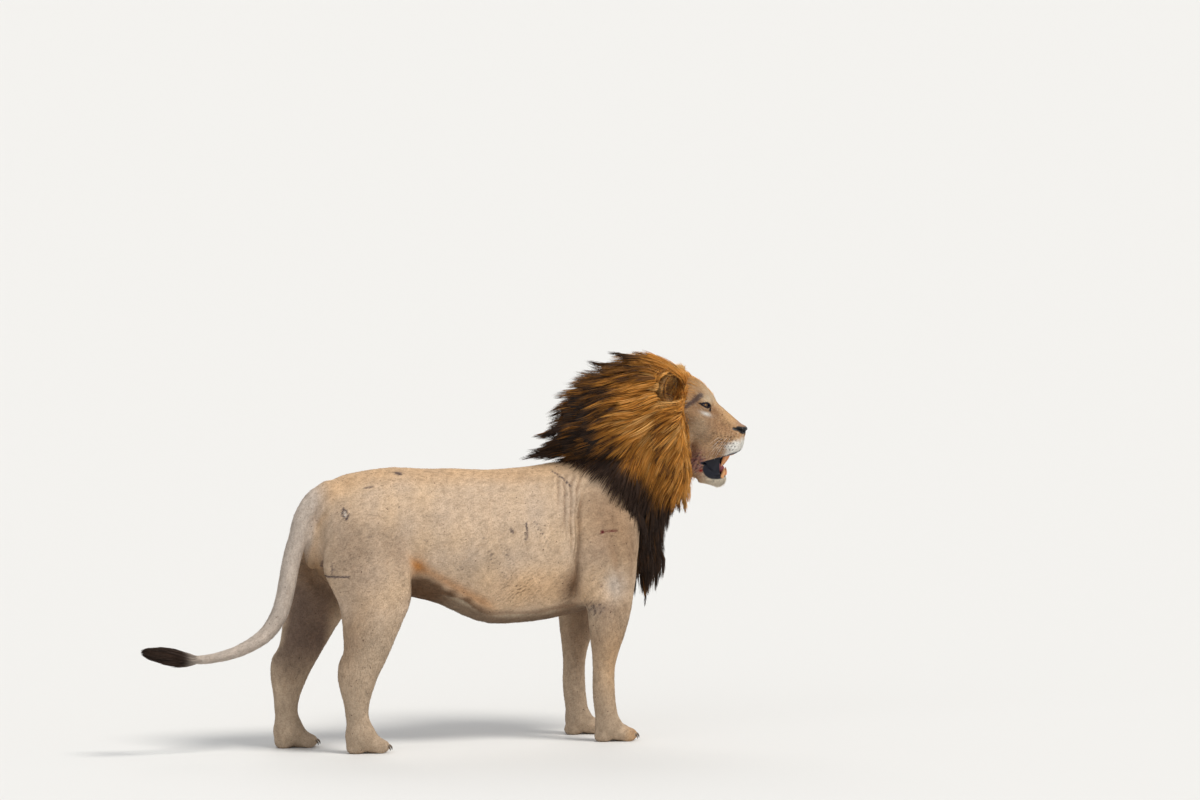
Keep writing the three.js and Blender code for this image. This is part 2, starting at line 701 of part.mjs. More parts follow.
// ---- Tail: a tube of rings along its stations ----
const tube = (stations, sides, sway) => {
  const curve = new THREE.CatmullRomCurve3(
    stations.map((s) => new THREE.Vector3(s.x, sway, s.z)),
  );
  const rings = Math.ceil(stations.length * 1.3);
  const points = [];
  const faces = [];
  for (let i = 0; i <= rings; i++) {
    const t = i / rings;
    const centre = curve.getPoint(t);
    const tangent = curve.getTangent(t);
    const up = new THREE.Vector3().crossVectors(tangent, new THREE.Vector3(0, 1, 0)).normalize();
    const place = t * (stations.length - 1);
    const n = Math.min(Math.floor(place), stations.length - 2);
    const radius = mix(stations[n].r, stations[n + 1].r, place - n);
    for (let k = 0; k < sides; k++) {
      const a = (k / sides) * 2 * Math.PI;
      points.push([
        centre.x + up.x * Math.cos(a) * radius,
        centre.y + Math.sin(a) * radius,
        centre.z + up.z * Math.cos(a) * radius,
      ]);
    }
  }
  for (let i = 0; i < rings; i++)
    for (let k = 0; k < sides; k++) {
      const a = i * sides + k;
      const b = i * sides + ((k + 1) % sides);
      faces.push(a, b, a + sides, b, b + sides, a + sides);
    }
  const first = points.push(curve.getPoint(0).toArray()) - 1;
  const last = points.push(curve.getPoint(1).toArray()) - 1;
  for (let k = 0; k < sides; k++) {
    const next = (k + 1) % sides;
    faces.push(first, next, k);
    faces.push(last, rings * sides + k, rings * sides + next);
  }
  const made = solidOf({ points, faces });
  if (made.volume() > 0) return made;
  for (let i = 0; i < faces.length; i += 3)
    [faces[i + 1], faces[i + 2]] = [faces[i + 2], faces[i + 1]];
  return solidOf({ points, faces });
};
const TAIL_CLEAR = 4;
const tailSolid = tube(TAIL, 8, TAIL_SWAY);
const tailRoom = tube(TAIL.map((s) => ({ ...s, r: s.r + TAIL_CLEAR })), 8, TAIL_SWAY);
const tailCut = { point: [-735, TAIL_SWAY, 1030], normal: [-0.82, 0, -0.57] };
const trunkRear = behindNeck.intersect(side(waistCut.point, opposite(waistCut.normal)));
const tailSpace = tailRoom.intersect(side(tailCut.point, tailCut.normal, -GAP / 2));
add("trunk_rear", trunkRear.subtract(tailSpace), COAT);
const tailCuts = [
  tailCut,
  { point: [-851, 0, 700], normal: [-0.17, 0, -1] },
  { point: [-1010, 0, 458], normal: [-1, 0, -0.5] },
];
for (const [i, name] of ["tail_base", "tail_middle", "tail_end"].entries()) {
  const start = tailSolid.intersect(side(tailCuts[i].point, tailCuts[i].normal));
  const next = tailCuts[i + 1];
  const piece = next ? start.intersect(side(next.point, opposite(next.normal))) : start;
  add(name, piece.intersect(side([TUFT[0].x, 0, 0], [1, 0, 0])), TAIL_COAT);
}
add("tail_tuft", tube(TUFT, 8, TAIL_SWAY).intersect(side([TUFT[0].x, 0, 0], [-1, 0, 0])), MANE_BLACK);

// ---- Legs ----
const PAW_TOP = 118;
const PAW_GRID = { step: 15, target: 190 };
const sole = side([0, 0, PAW_FLAT], [0, 0, 1], 0);
const legNodes = (prefix, region, split, s, footX) => {
  const leg = body.intersect(legBox(region.x0, region.x1, region.top, s));
  const above = side([0, 0, PAW_TOP], [0, 0, 1]);
  const below = side([0, 0, PAW_TOP], [0, 0, -1]);
  add(prefix + "_upper", leg.intersect(side(split.point, split.normal)), COAT);
  const shank = leg.intersect(side(split.point, opposite(split.normal)));
  add(prefix + "_lower", shank.intersect(above), PALE_COAT);
  const paw = fieldSolid(
    flesh,
    [footX - 110, s > 0 ? 40 : -240, -19],
    [footX + 170, s > 0 ? 240 : -40, PAW_TOP + 40],
    PAW_GRID.step,
    PAW_GRID.target,
  );
  add(prefix + "_paw", paw.intersect(below).intersect(sole), PALE_COAT);
};
const footOf = (joints, stride) => {
  const { pastern } = joints;
  const top = Object.values(joints)[0].z;
  return pastern.x + strideAt(stride, pastern.z, top);
};
for (const [word, s] of [["right", RIGHT], ["left", LEFT]]) {
  const fore = s === RIGHT ? STRIDE.foreRight : STRIDE.foreLeft;
  const hind = s === RIGHT ? STRIDE.hindRight : STRIDE.hindLeft;
  const elbowSplit = { point: [500, 0, 520], normal: [-0.15, 0, 1] };
  const kneeSplit = { point: [-530 + hind * 0.7, 0, 500], normal: [0.35, 0, 1] };
  legNodes("foreleg_" + word, FORE_BOX, elbowSplit, s, footOf(FORELEG, fore));
  legNodes("hindleg_" + word, HIND_BOX, kneeSplit, s, footOf(HINDLEG, hind));
}

// ---- Head, jaw, eyes, nose, ears, tongue ----
const placed = (geometry) => solidFromGeometry(geometry.applyMatrix4(headMatrix));
const eyeball = (s, grow) => {
  const g = new THREE.SphereGeometry(EYE.radius + grow, 10, 7);
  g.rotateX(Math.PI / 2);
  return placed(g.translate(EYE.x, s * EYE.side, EYE.z));
};
// A tooth: a cone from its root to its tip, both [x, z] in the head's frame.
const canine = (s, side, root, tip, radius) => {
  const [dx, dz] = [tip[0] - root[0], tip[1] - root[1]];
  const g = new THREE.ConeGeometry(radius, Math.hypot(dx, dz), 6);
  g.rotateX(Math.PI / 2).rotateY(Math.atan2(dx, dz));
  return placed(g.translate((root[0] + tip[0]) / 2, s * side, (root[1] + tip[1]) / 2));
};

const headBounds = new THREE.Box3().setFromPoints(
  [-150, 215].flatMap((x) => [-140, 140].flatMap((y) => [-360, 130].map((z) => fromHead(x, y, z)))),
);
const HEAD_GRID = [headBounds.min.toArray(), headBounds.max.toArray(), 12, 1000];
const headShape = fieldMesh(flesh, ...HEAD_GRID);
const headMesh = solidOf(headShape).intersect(side(headCut.point, headCut.normal));

const noseField = inHead(
  union(10, [
    blob([180, 0, -84], [24, 34, 15], 24),
    blob([178, 0, -102], [18, 19, 24], 0),
    ...pair((s) => blob([170, s * 23, -92], [22, 14, 14], 20)),
  ]),
);
const noseBounds = new THREE.Box3().setFromPoints(
  [120, 225].flatMap((x) => [-55, 55].flatMap((y) => [-150, -50].map((z) => fromHead(x, y, z)))),
);
const noseShape = fieldMesh(noseField, noseBounds.min.toArray(), noseBounds.max.toArray(), 8, 150);
add("nose", solidOf(noseShape), BLACK_SKIN);

const earShell = (s) => blob([EAR.x, s * EAR.side, EAR.z + 12], [38, 50, 64], 10);
const earField = (s) => {
  const cup = blob([EAR.x + 28, s * (EAR.side + 13), EAR.z + 20], [42, 38, 53], 10);
  return (x, y, z) => smoothMax(earShell(s)(x, y, z), -cup(x, y, z), 8);
};
const earBounds = (s) =>
  new THREE.Box3().setFromPoints(
    [EAR.x - 80, EAR.x + 80].flatMap((x) =>
      [s * EAR.side - 90, s * EAR.side + 90].flatMap((y) =>
        [EAR.z - 80, EAR.z + 110].map((z) => fromHead(x, y, z)),
      ),
    ),
  );

const jawSide = side(jawCut.point, jawCut.normal);
const skullSide = side(jawCut.point, opposite(jawCut.normal));
let skull = headMesh.intersect(skullSide);
for (const s of [RIGHT, LEFT]) {
  skull = skull.subtract(eyeball(s, GAP));
  skull = skull.add(canine(s, 28, [132, -172], [114, -246], 12));
}
skull = skull.subtract(swollen(noseShape, noseField, GAP));
add("head", skull, FACE_COAT);
for (const [word, s] of [["right", RIGHT], ["left", LEFT]])
  add("eye_" + word, eyeball(s, 0), EYE_AMBER);
let jaw = headMesh.intersect(jawSide);
for (const s of [RIGHT, LEFT]) jaw = jaw.add(canine(s, 22, [122, -286], [126, -252], 9));
add("jaw", jaw, CHIN_COAT);
const tongue = new THREE.SphereGeometry(1, 10, 6);
tongue.rotateX(Math.PI / 2).scale(50, 22, 9);
tongue.rotateY((8 * Math.PI) / 180).translate(80, 0, -262);
const flat = placed(tongue);
add("tongue", flat.subtract(headMesh), TONGUE_SKIN);

// ---- Neck and mane ----
const neckSolid = body
  .intersect(side(neckCut.point, neckCut.normal))
  .intersect(side(headCut.point, opposite(headCut.normal)));
add("neck", legRegions(GAP).reduce((n, b) => n.subtract(b), neckSolid), MANE_BROWN);

// The mane is hollow over a plain version of the flesh, with the mouth closed, and clear of it.
const MANE_CLEAR = 16;
const EAR_CLEAR = 4;
const plainHead = inHead((x, y, z) => smoothMin(upperFace(x, y, z), lowerJaw(x, y, z), 30));
const hollow = (x, y, z) =>
  smoothMin(bodyField(x, y, z), plainHead(x, y, z), 45) - MANE_CLEAR;
const MANE_GRID = { low: [90, -360, 440], high: [1130, 330, 1720], step: 30, target: 1000 };
const HOLLOW_GRID = { low: [60, -320, 420], high: [1220, 300, 1560], step: 28, target: 900 };
const gridSolid = (field, grid) => fieldSolid(field, grid.low, grid.high, grid.step, grid.target);
let mane = gridSolid(maneField, MANE_GRID).subtract(gridSolid(hollow, HOLLOW_GRID));
for (const [word, s] of [["right", RIGHT], ["left", LEFT]]) {
  const b = earBounds(s);
  const earGrid = { low: b.min.toArray(), high: b.max.toArray(), step: 10, target: 150 };
  const root = (x, y, z) => flesh(x, y, z) - EAR_CLEAR;
  const ear = gridSolid(inHead(earField(s)), earGrid);
  add("ear_" + word, ear.subtract(gridSolid(root, { ...earGrid, step: 16 })), MANE_TAWNY);
  const aroundEar = inHead((x, y, z) => earShell(s)(x, y, z) - 9);
  mane = mane.subtract(gridSolid(aroundEar, { ...earGrid, target: 90 }));
}
const maneCuts = {
  crown: { point: [640, 0, 1395], normal: [0.45, 0, 1] },
  chest: { point: [750, 0, 960], normal: [0.1, 0, 1] },
  tip: { point: [430, 0, 1180], normal: [1, 0, 0.15] },
  nape: { point: [640, 0, 1250], normal: [1, 0, 0.1] },
};
const above = (solid, cut) => solid.intersect(side(cut.point, cut.normal));
const under = (solid, cut) => solid.intersect(side(cut.point, opposite(cut.normal)));
const crown = above(mane, maneCuts.crown);
add("mane_crown", crown, MANE_TAWNY);
const lower = under(mane, maneCuts.crown);
add("mane_chest", under(lower, maneCuts.chest), MANE_BLACK);
const middle = above(lower, maneCuts.chest);
add("mane_withers", under(middle, maneCuts.tip), MANE_BLACK);
const sides = above(middle, maneCuts.tip);
for (const [word, n] of [["right", [0, -1, 0]], ["left", [0, 1, 0]]]) {
  const half = sides.intersect(side([700, -20, 1200], n));
  add("mane_cheek_" + word, above(half, maneCuts.nape), MANE_TAWNY);
  add("mane_neck_" + word, under(half, maneCuts.nape), MANE_BROWN);
}

// ---- The row frame: the middle of the box, on the floor ----
lion.updateMatrixWorld(true);
const bounds = new THREE.Box3().setFromObject(lion);
const middleOf = bounds.getCenter(new THREE.Vector3());
lion.position.set(-middleOf.x, -middleOf.y, -bounds.min.z);

export default lion;
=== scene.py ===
"""A life-size adult male lion: skin, eyes, mouth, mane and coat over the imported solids.

The skin is meshed from the same field of distances as the solids, with fuller ears, in millimetres
in the body's own frame, and every piece is put into the row frame in metres at the end.
"""

import math

import bpy
import numpy as np
from mathutils import Matrix, Vector
from mathutils.kdtree import KDTree


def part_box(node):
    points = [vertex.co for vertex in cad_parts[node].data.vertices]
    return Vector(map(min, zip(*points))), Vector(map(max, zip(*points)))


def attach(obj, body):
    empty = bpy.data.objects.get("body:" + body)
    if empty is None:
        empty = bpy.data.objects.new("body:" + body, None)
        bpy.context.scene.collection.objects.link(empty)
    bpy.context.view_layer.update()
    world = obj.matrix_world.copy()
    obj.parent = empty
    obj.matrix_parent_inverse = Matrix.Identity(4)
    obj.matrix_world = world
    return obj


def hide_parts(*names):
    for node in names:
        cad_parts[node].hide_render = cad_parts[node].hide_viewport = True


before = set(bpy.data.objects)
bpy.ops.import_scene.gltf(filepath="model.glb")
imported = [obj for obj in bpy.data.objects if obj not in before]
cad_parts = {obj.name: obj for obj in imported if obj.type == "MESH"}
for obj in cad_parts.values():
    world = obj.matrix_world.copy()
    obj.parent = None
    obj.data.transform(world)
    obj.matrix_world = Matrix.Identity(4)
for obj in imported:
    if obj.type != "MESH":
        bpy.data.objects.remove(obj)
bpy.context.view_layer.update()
rng = np.random.default_rng(7)
RIGHT, LEFT = -1, 1
SIDES = (RIGHT, LEFT)
SIDE_NAME = {RIGHT: "right", LEFT: "left"}

# ---- The animal's dimensions, the same as the solids' ----
HEAD_AT = np.array([947.0, -77.0, 1382.0])
HEAD_YAW, HEAD_PITCH = -32, 6
EYE_X, EYE_SIDE = 20, 63
EAR_X, EAR_SIDE, EAR_Z = -124, 106, 42
PAW_FLAT = 9
TRUNK = np.array([  # x, top, bottom, half width
    [-738, 985, 840, 56], [-690, 1075, 720, 120], [-575, 1138, 655, 165], [-400, 1160, 640, 175],
    [-200, 1152, 592, 180], [0, 1138, 508, 205], [180, 1138, 497, 212], [340, 1158, 515, 200],
    [500, 1150, 550, 178], [600, 1090, 620, 150], [665, 950, 730, 90]], float)
FORELEG = [  # x, y, z, half depth, half width from shoulder to pastern
    (545, 128, 900, 105, 62), (524, 148, 745, 114, 66), (514, 150, 610, 106, 62),
    (506, 146, 475, 84, 56), (492, 140, 330, 52, 46), (492, 138, 205, 50, 47),
    (505, 138, 105, 50, 52)]
HINDLEG = [  # hip to pastern
    (-560, 105, 930, 150, 80), (-560, 135, 770, 178, 82), (-528, 158, 610, 148, 74),
    (-544, 158, 480, 116, 60), (-568, 153, 375, 92, 50), (-588, 148, 300, 76, 46),
    (-597, 146, 190, 54, 44), (-585, 146, 100, 50, 50)]
STRIDE = {("fore", RIGHT): 0, ("fore", LEFT): -22, ("hind", RIGHT): 0, ("hind", LEFT): -205}
TAIL = [  # x, z, radius
    (-668, 1062, 58), (-735, 1030, 48), (-782, 965, 43), (-803, 890, 42), (-828, 813, 41),
    (-845, 735, 40), (-861, 656, 39), (-886, 578, 38), (-934, 508, 35), (-1000, 462, 31),
    (-1080, 429, 27), (-1170, 410, 23), (-1250, 406, 20), (-1300, 412, 13)]
TAIL_SWAY = -20
TOES = (-42, -15, 15, 42)  # sideways from the paw's middle
COAT_DEPTH = 4.0  # of the body's short fur, from skin to tips
FACE_DEPTH = 2.0

# ---- Fields: each takes points as an array of three rows and returns distances ----
def smin(a, b, k):
    h = np.maximum(k - np.abs(a - b), 0) / k
    return np.minimum(a, b) - h * h * k / 4


def smax(a, b, k):
    return -smin(-a, -b, k)


def ramp(x, start, end):
    t = np.clip((x - start) / (end - start), 0, 1)
    return t * t * (3 - 2 * t)


def ellipsoid(dx, dy, dz, rx, ry, rz):
    k0 = np.sqrt((dx / rx) ** 2 + (dy / ry) ** 2 + (dz / rz) ** 2)
    k1 = np.sqrt((dx / rx**2) ** 2 + (dy / ry**2) ** 2 + (dz / rz**2) ** 2)
    return k0 * (k0 - 1) / np.maximum(k1, 1e-9)


def blob(centre, radii, tilt=0):
    c, s = math.cos(math.radians(tilt)), math.sin(math.radians(tilt))

    def field(p):
        dx, dz = p[0] - centre[0], p[2] - centre[2]
        return ellipsoid(dx * c - dz * s, p[1] - centre[1], dx * s + dz * c, *radii)
    return field


def bone(a, b):
    """A tapered limb between two ends of (x, y, z, half depth, half width)."""
    a, b = np.array(a, float), np.array(b, float)
    axis = (b - a)[:3]

    def field(p):
        t = sum((p[i] - a[i]) * axis[i] for i in range(3)) / (axis @ axis)
        t = np.clip(t, 0, 1)
        x, y, z, deep, wide = (a[i] + (b[i] - a[i]) * t for i in range(5))
        return ellipsoid(p[0] - x, p[1] - y, p[2] - z, deep, wide, deep)
    return field


def lock(a, b):
    return bone((*a, a[3]), (*b, b[3]))


def union(k, fields):
    def field(p):
        d = np.full(p.shape[1:], 1e4)
        for f in fields:
            d = smin(d, f(p), k)
        return d
    return field


def chain(stations, k):
    return union(k, [bone(a, b) for a, b in zip(stations, stations[1:])])


def pair(make):
    return [make(RIGHT), make(LEFT)]


def catmull_rom(table, xs):
    """Each column of the table at xs, with smooth slopes."""
    x = table[:, 0]
    i = np.clip(np.searchsorted(x, xs, "right") - 1, 0, len(x) - 2)
    before, after = np.maximum(i - 1, 0), np.minimum(i + 2, len(x) - 1)
    span = x[i + 1] - x[i]
    t = ((xs - x[i]) / span)[:, None]
    m1 = (table[i + 1] - table[before]) / (x[i + 1] - x[before])[:, None] * span[:, None]
    m2 = (table[after] - table[i]) / (x[after] - x[i])[:, None] * span[:, None]
    t2, t3 = t * t, t * t * t
    return (table[i] * (2 * t3 - 3 * t2 + 1) + table[i + 1] * (3 * t2 - 2 * t3)
            + m1 * (t3 - 2 * t2 + t) + m2 * (t3 - t2))


TRUNK_X = np.arange(TRUNK[0, 0], TRUNK[-1, 0] + 1, 2.0)
TRUNK_FINE = catmull_rom(TRUNK, TRUNK_X)


def trunk(p):
    at = np.clip(p[0], TRUNK_X[0], TRUNK_X[-1])
    top, bottom, half = (np.interp(at, TRUNK_X, TRUNK_FINE[:, c]) for c in (1, 2, 3))
    height = (top - bottom) / 2
    dz = p[2] - (top + bottom) / 2
    half = half * (1 - 0.2 * np.clip(dz / height, 0, 1) ** 2)
    return ellipsoid(p[0] - at, p[1], dz, np.minimum(height, half), half, height)


def posed(joints, side, stride):
    top = joints[0][2]
    return [(x + stride * (1 - (z / top) ** 2), y * side, z, d, w) for x, y, z, d, w in joints]


def paw(x, y, side, long):
    parts = [blob((x + 12, y, 62), (62, 52, 50)), blob((x + 58, y, 42), (50, 57, 40)),
             blob((x - 18, y, 30), (38, 42, 32))]
    for i, offset in enumerate(TOES):
        reach = long + (14 if i in (1, 2) else -4)
        parts.append(blob((x + reach, y + offset * side, 34), (33, 17, 30)))
    return union(14, parts)


def column(joints):
    """A smooth upright limb: each level has its centre and its half depth and width."""
    table = np.array([(z, x, y, d, w) for x, y, z, d, w in joints][::-1], float)
    heights = np.arange(table[0, 0], table[-1, 0] + 1, 4.0)
    fine = catmull_rom(table, heights)

    def field(p):
        at = np.clip(p[2], heights[0], heights[-1])
        x, y, deep, wide = (np.interp(at, heights, fine[:, c]) for c in (1, 2, 3, 4))
        return ellipsoid(p[0] - x, p[1] - y, p[2] - at, deep, wide, np.minimum(deep, wide))
    return field


def foreleg(side):
    j = posed(FORELEG, side, STRIDE["fore", side])
    return union(30, [column(j), blob((j[2][0] - 68, j[2][1], 640), (42, 40, 60), 8),
                      blob((j[1][0] - 40, side * 150, 770), (95, 58, 105), 15),
                      paw(j[-1][0], j[-1][1], side, 84)])


def hindleg(side):
    j = posed(HINDLEG, side, STRIDE["hind", side])
    return union(60, [column(j), blob((j[5][0] - 50, j[5][1], 322), (28, 24, 66), -13),
                      blob((j[1][0] + 105, side * 150, 720), (95, 58, 130), -18),
                      paw(j[-1][0], j[-1][1], side, 82)])


neck = chain([(815, -32, 1330, 112, 92), (720, -15, 1235, 138, 108), (590, 0, 1060, 178, 135),
              (520, 0, 930, 200, 150)], 60)
rump = union(40, [bone((-600, 0, 1030, 80, 70), (-712, TAIL_SWAY, 1034, 44, 42)),
                  blob((-735, -8, 800), (34, 40, 48)), blob((-722, -4, 870), (34, 30, 70))])
numbered = np.column_stack([np.arange(len(TAIL)), np.array(TAIL, float)])
TAIL_LINE = catmull_rom(numbered, np.linspace(0, len(TAIL) - 1.001, 40))[:, 1:]


def tail(p):
    d = np.full(p.shape[1:], 900.0)
    close = p[0] < -560
    q = p[:, close]
    best = np.full(q.shape[1:], 900.0)
    for a, b in zip(TAIL_LINE, TAIL_LINE[1:]):
        step = (b - a)[:2]
        t = np.clip(((q[0] - a[0]) * step[0] + (q[2] - a[1]) * step[1]) / (step @ step), 0, 1)
        away = np.sqrt((q[0] - a[0] - t * step[0]) ** 2 + (q[2] - a[1] - t * step[1]) ** 2
                       + (q[1] - TAIL_SWAY) ** 2)
        best = np.minimum(best, away - (a[2] + t * (b[2] - a[2])))
    d[close] = best
    return d


limbs = [foreleg(RIGHT), foreleg(LEFT), hindleg(RIGHT), hindleg(LEFT)]
FEET = [posed(table, side, STRIDE[kind, side])[-1][:2]
        for kind, table in (("fore", FORELEG), ("hind", HINDLEG)) for side in SIDES]
body = union(55, [trunk, neck, rump, *limbs])

# ---- The head, in its own frame: x to the nose, z up, zero midway between the eyes ----
TO_BODY = np.array(Matrix.Rotation(math.radians(HEAD_YAW), 3, "Z")
                   @ Matrix.Rotation(math.radians(HEAD_PITCH), 3, "Y"))


def to_head(p):
    return TO_BODY.T @ (p - HEAD_AT[:, None])


def from_head(p):
    return TO_BODY @ p + HEAD_AT[:, None]


upper_face = union(30, [
    blob((-78, 0, 12), (112, 84, 92)),
    blob((-12, 0, -2), (62, 56, 58), 38),
    bone((20, 0, -12, 44, 38), (164, 0, -97, 33, 33)),
    bone((60, 0, -90, 62, 52), (142, 0, -124, 44, 46)),
    *pair(lambda s: blob((18, s * 48, 22), (36, 26, 17), 34)),
    *pair(lambda s: blob((-24, s * 80, -52), (58, 36, 44))),
    *pair(lambda s: blob((-68, s * 76, -130), (62, 44, 86))),
    *pair(lambda s: blob((8, s * 60, -12), (34, 22, 30))),
    *pair(lambda s: blob((26, s * 62, -86), (58, 30, 50))),
    *pair(lambda s: blob((44, s * 50, -128), (62, 36, 58))),
    *pair(lambda s: blob((138, s * 34, -146), (52, 36, 47), 8)),
    *pair(lambda s: bone((146, s * 38, -174, 24, 26), (34, s * 56, -202, 42, 30)))])
lower_jaw = union(18, [
    *pair(lambda s: bone((-60, s * 58, -225, 52, 30), (62, s * 34, -288, 33, 24))),
    bone((40, 0, -306, 24, 34), (104, 0, -300, 33, 33))])
mouth_inside = union(12, [bone((44, 0, -232, 24, 34), (128, 0, -210, 26, 25)),
                          bone((50, 0, -262, 16, 24), (104, 0, -276, 16, 20))])
MOUTH_CORNER = (40, -240)
MUZZLE = np.array([[215.0], [0], [-100]])  # the fur of the face lies away from it


def mouth_wedge(p):
    ahead, drop = p[0] - MOUTH_CORNER[0], p[2] - MOUTH_CORNER[1]
    return np.maximum(drop - 0.4 * ahead, -drop - 0.28 * ahead) * 0.94


def mouth_hollow(p):
    return smin(mouth_wedge(p), mouth_inside(p), 10)


# ---- Detail of the face that only the skin has ----
def eye_frame(side):
    """Centre of an eyeball, and the directions it looks, from its inner to its outer corner, and up."""
    look = np.array([0.82, side * 0.57, 0.05])
    look /= np.linalg.norm(look)
    out = np.array([-0.56, side * 0.80, 0.20])
    out -= look * (out @ look)
    out /= np.linalg.norm(out)
    up = np.cross(look, out) * -side
    return np.array([EYE_X, side * EYE_SIDE, 0.0]), look, out, up


LID_HALF, LID_UP, LID_DOWN = 19.0, 5.4, 6.0


def eye_opening(p, side):
    """Distance from the almond between the lids, seen along the look, and the eyeball's own distance."""
    centre, look, out, up = eye_frame(side)
    q = p - centre[:, None]
    ahead, across, above = look @ q, out @ q, up @ q
    arch = 1 - (across / LID_HALF) ** 2
    edge = np.maximum(above - LID_UP * arch, -above - LID_DOWN * arch)
    return np.where(ahead > 0, edge, 50.0), np.linalg.norm(q, axis=0)


def eye_skin(p, d):
    for side in SIDES:
        edge, radius = eye_opening(p, side)
        d = smax(d, 24.5 - radius, 8)
        d = smin(d, radius - 22.2, 14)
        crease = np.abs(edge - 6.5)
        d = d + 1.4 * np.exp(-((crease / 1.7) ** 2)) * np.exp(-(((radius - 23) / 8) ** 2))
        d = smax(d, -np.maximum(edge, 17 - radius), 1.4)
    return d


nose_pad = union(8, [blob((181, 0, -82), (23, 31, 12), 8), blob((176, 0, -101), (18, 25, 23)),
                     *pair(lambda s: blob((170, s * 23, -92), (20, 12, 13), 14))])
nostrils = union(4, [*pair(lambda s: blob((197, s * 15, -94), (11, 7, 7), 10)),
                     *pair(lambda s: lock((194, s * 20, -92, 5.0), (154, s * 41, -84, 3.4)))])
philtrum = lock((193, 0, -112, 3.6), (186, 0, -172, 4.4))


def inner_cheek(p):
    """The thin black skin that joins the lips behind the canine teeth."""
    round_it = np.hypot((p[0] - 92) / 52, (p[2] + 254) / 38)
    roll = 5.5 * np.exp(-(((round_it - 0.82) / 0.16) ** 2)) * ramp(p[2], -226, -244)
    ripple = (0.9 + 0.9 * np.sin((p[0] - 0.5 * p[2]) / 7)) * ramp(round_it, 0.9, 0.5)
    sheet = np.abs(np.abs(p[1]) - 46 + 0.13 * p[0]) - 2.4 - roll - ripple
    edge = p[0] - 108 - 0.004 * (p[2] + 240) ** 2
    return smax(sheet, np.maximum(np.maximum(edge, 22 - p[0]), np.maximum(p[2] + 196, -286 - p[2])), 4)


def lip_amount(q):
    """How far a place is on the bare black lips and the hanging inside of the lower one."""
    rim = ramp(mouth_wedge(q), 7.5 + 5 * ramp(q[0], 130, 160), 3.5) * ramp(q[0], 26, 40)
    x, z = (q[0] - 96) / 52, (q[2] + 262) / 42
    hang = ramp(np.sqrt(x * x + z * z), 1.04, 0.94) * (q[2] < -236 + 0.3 * (q[0] - 40))
    return np.maximum(rim, hang)


def face_skin(p):
    d = smin(upper_face(p), lower_jaw(p), 30) + FACE_DEPTH
    d = smin(d, nose_pad(p) + 0.6, 5)
    d = smax(d, -nostrils(p), 4)
    d = smax(d, -philtrum(p), 3)
    x, y, z = p
    pads = np.exp(-(((x - 138) / 42) ** 2 + ((z + 142) / 30) ** 2))
    d = d + 0.9 * pads * np.sin((z + 0.25 * x) / 3.1) * (np.abs(y) > 20)
    folds = np.exp(-(((x - 32) / 26) ** 2 + ((z + 232) / 34) ** 2))
    d = d + 1.6 * folds * np.sin((x * 0.9 - (z + 232) * 0.35) / 2.9)
    frown = np.exp(-(((x - 55) / 34) ** 2 + ((z - 18) / 26) ** 2)) * np.exp(-((y / 34) ** 2))
    d = d + 0.7 * frown * np.cos(y / 4.2)
    d = smax(d, -mouth_hollow(p), 5)
    return eye_skin(p, smin(d, inner_cheek(p), 6))


def ear_shell(side):
    return blob((EAR_X - 3, side * (EAR_SIDE + 10), EAR_Z + 15), (42, 62, 70), 10)


def ear_cup(side):
    return blob((EAR_X + 26, side * (EAR_SIDE + 34), EAR_Z + 20), (44, 52, 58), 10)


def nearer_ear(make, q):
    return np.minimum(*[make(side)(q) for side in SIDES])


def ears(p):
    """Both ears, fuller than the solid ones."""
    d = np.full(p.shape[1:], 1e4)
    for side in SIDES:
        d = np.minimum(d, smax(ear_shell(side)(p) + 1.5, -ear_cup(side)(p), 6))
    return d


def skin_field(p):
    q = to_head(p)
    d = smin(body(p), tail(p), 22) + COAT_DEPTH
    return smin(smin(d, face_skin(q), 45), ears(q), 10)


# ---- The mane's own field, the same as the solid mane's outline ----
def sweep(count, make):
    return [make(i / (count - 1), 1 if i % 2 else -1) for i in range(count)]


def mix(a, b, t):
    return a + (b - a) * t


mane_mass = union(60, [
    blob((715, -28, 1396), (190, 208, 204), -10),
    blob((560, -5, 1312), (218, 202, 236), 34),
    lock((560, 0, 1285, 142), (392, 0, 1232, 82)),
    *pair(lambda s: blob((775, -38 + s * 104, 1250), (130, 124, 200), 6)),
    blob((792, -44, 1120), (118, 168, 175)),
    blob((672, -15, 1010), (145, 172, 205), -14),
    lock((706, -10, 930, 118), (736, -5, 705, 70)),
    blob((668, -8, 880), (88, 118, 150))])
mane_locks = union(18, [
    *sweep(6, lambda t, s: lock((mix(720, 510, t), s * 40, mix(1530, 1370, t), 62),
                                (mix(570, 345, t), s * 52, mix(1604, 1362, t), 9))),
    *sweep(4, lambda t, s: lock((mix(490, 430, t), s * mix(90, 30, t), mix(1305, 1226, t), 58),
                                (mix(290, 205, t), s * mix(70, 12, t), mix(1292, 1184, t), 12))),
    lock((400, 0, 1205, 60), (172, 0, 1166, 7)),
    *sweep(4, lambda t, s: lock((mix(850, 780, t), -55 + s * mix(20, 90, t), 1040, 62),
                                (mix(890, 815, t), -50 + s * mix(14, 80, t), mix(915, 940, t), 9))),
    *sweep(4, lambda t, s: lock((mix(765, 700, t), s * mix(20, 62, t), 735, 58),
                                (mix(772, 706, t), s * mix(10, 46, t), mix(600, 575, t), 9))),
    lock((735, 0, 700, 56), (730, 0, 535, 8))])
ruff = union(40, [  # round the face, in the head's frame
    *pair(lambda s: blob((-92, s * 98, 10), (58, 60, 105))),
    *pair(lambda s: blob((-72, s * 92, -120), (60, 62, 120))),
    *pair(lambda s: blob((-45, s * 70, -250), (62, 58, 100))),
    blob((-98, 0, 88), (58, 90, 42)), blob((-48, 72, 62), (44, 38, 34))])
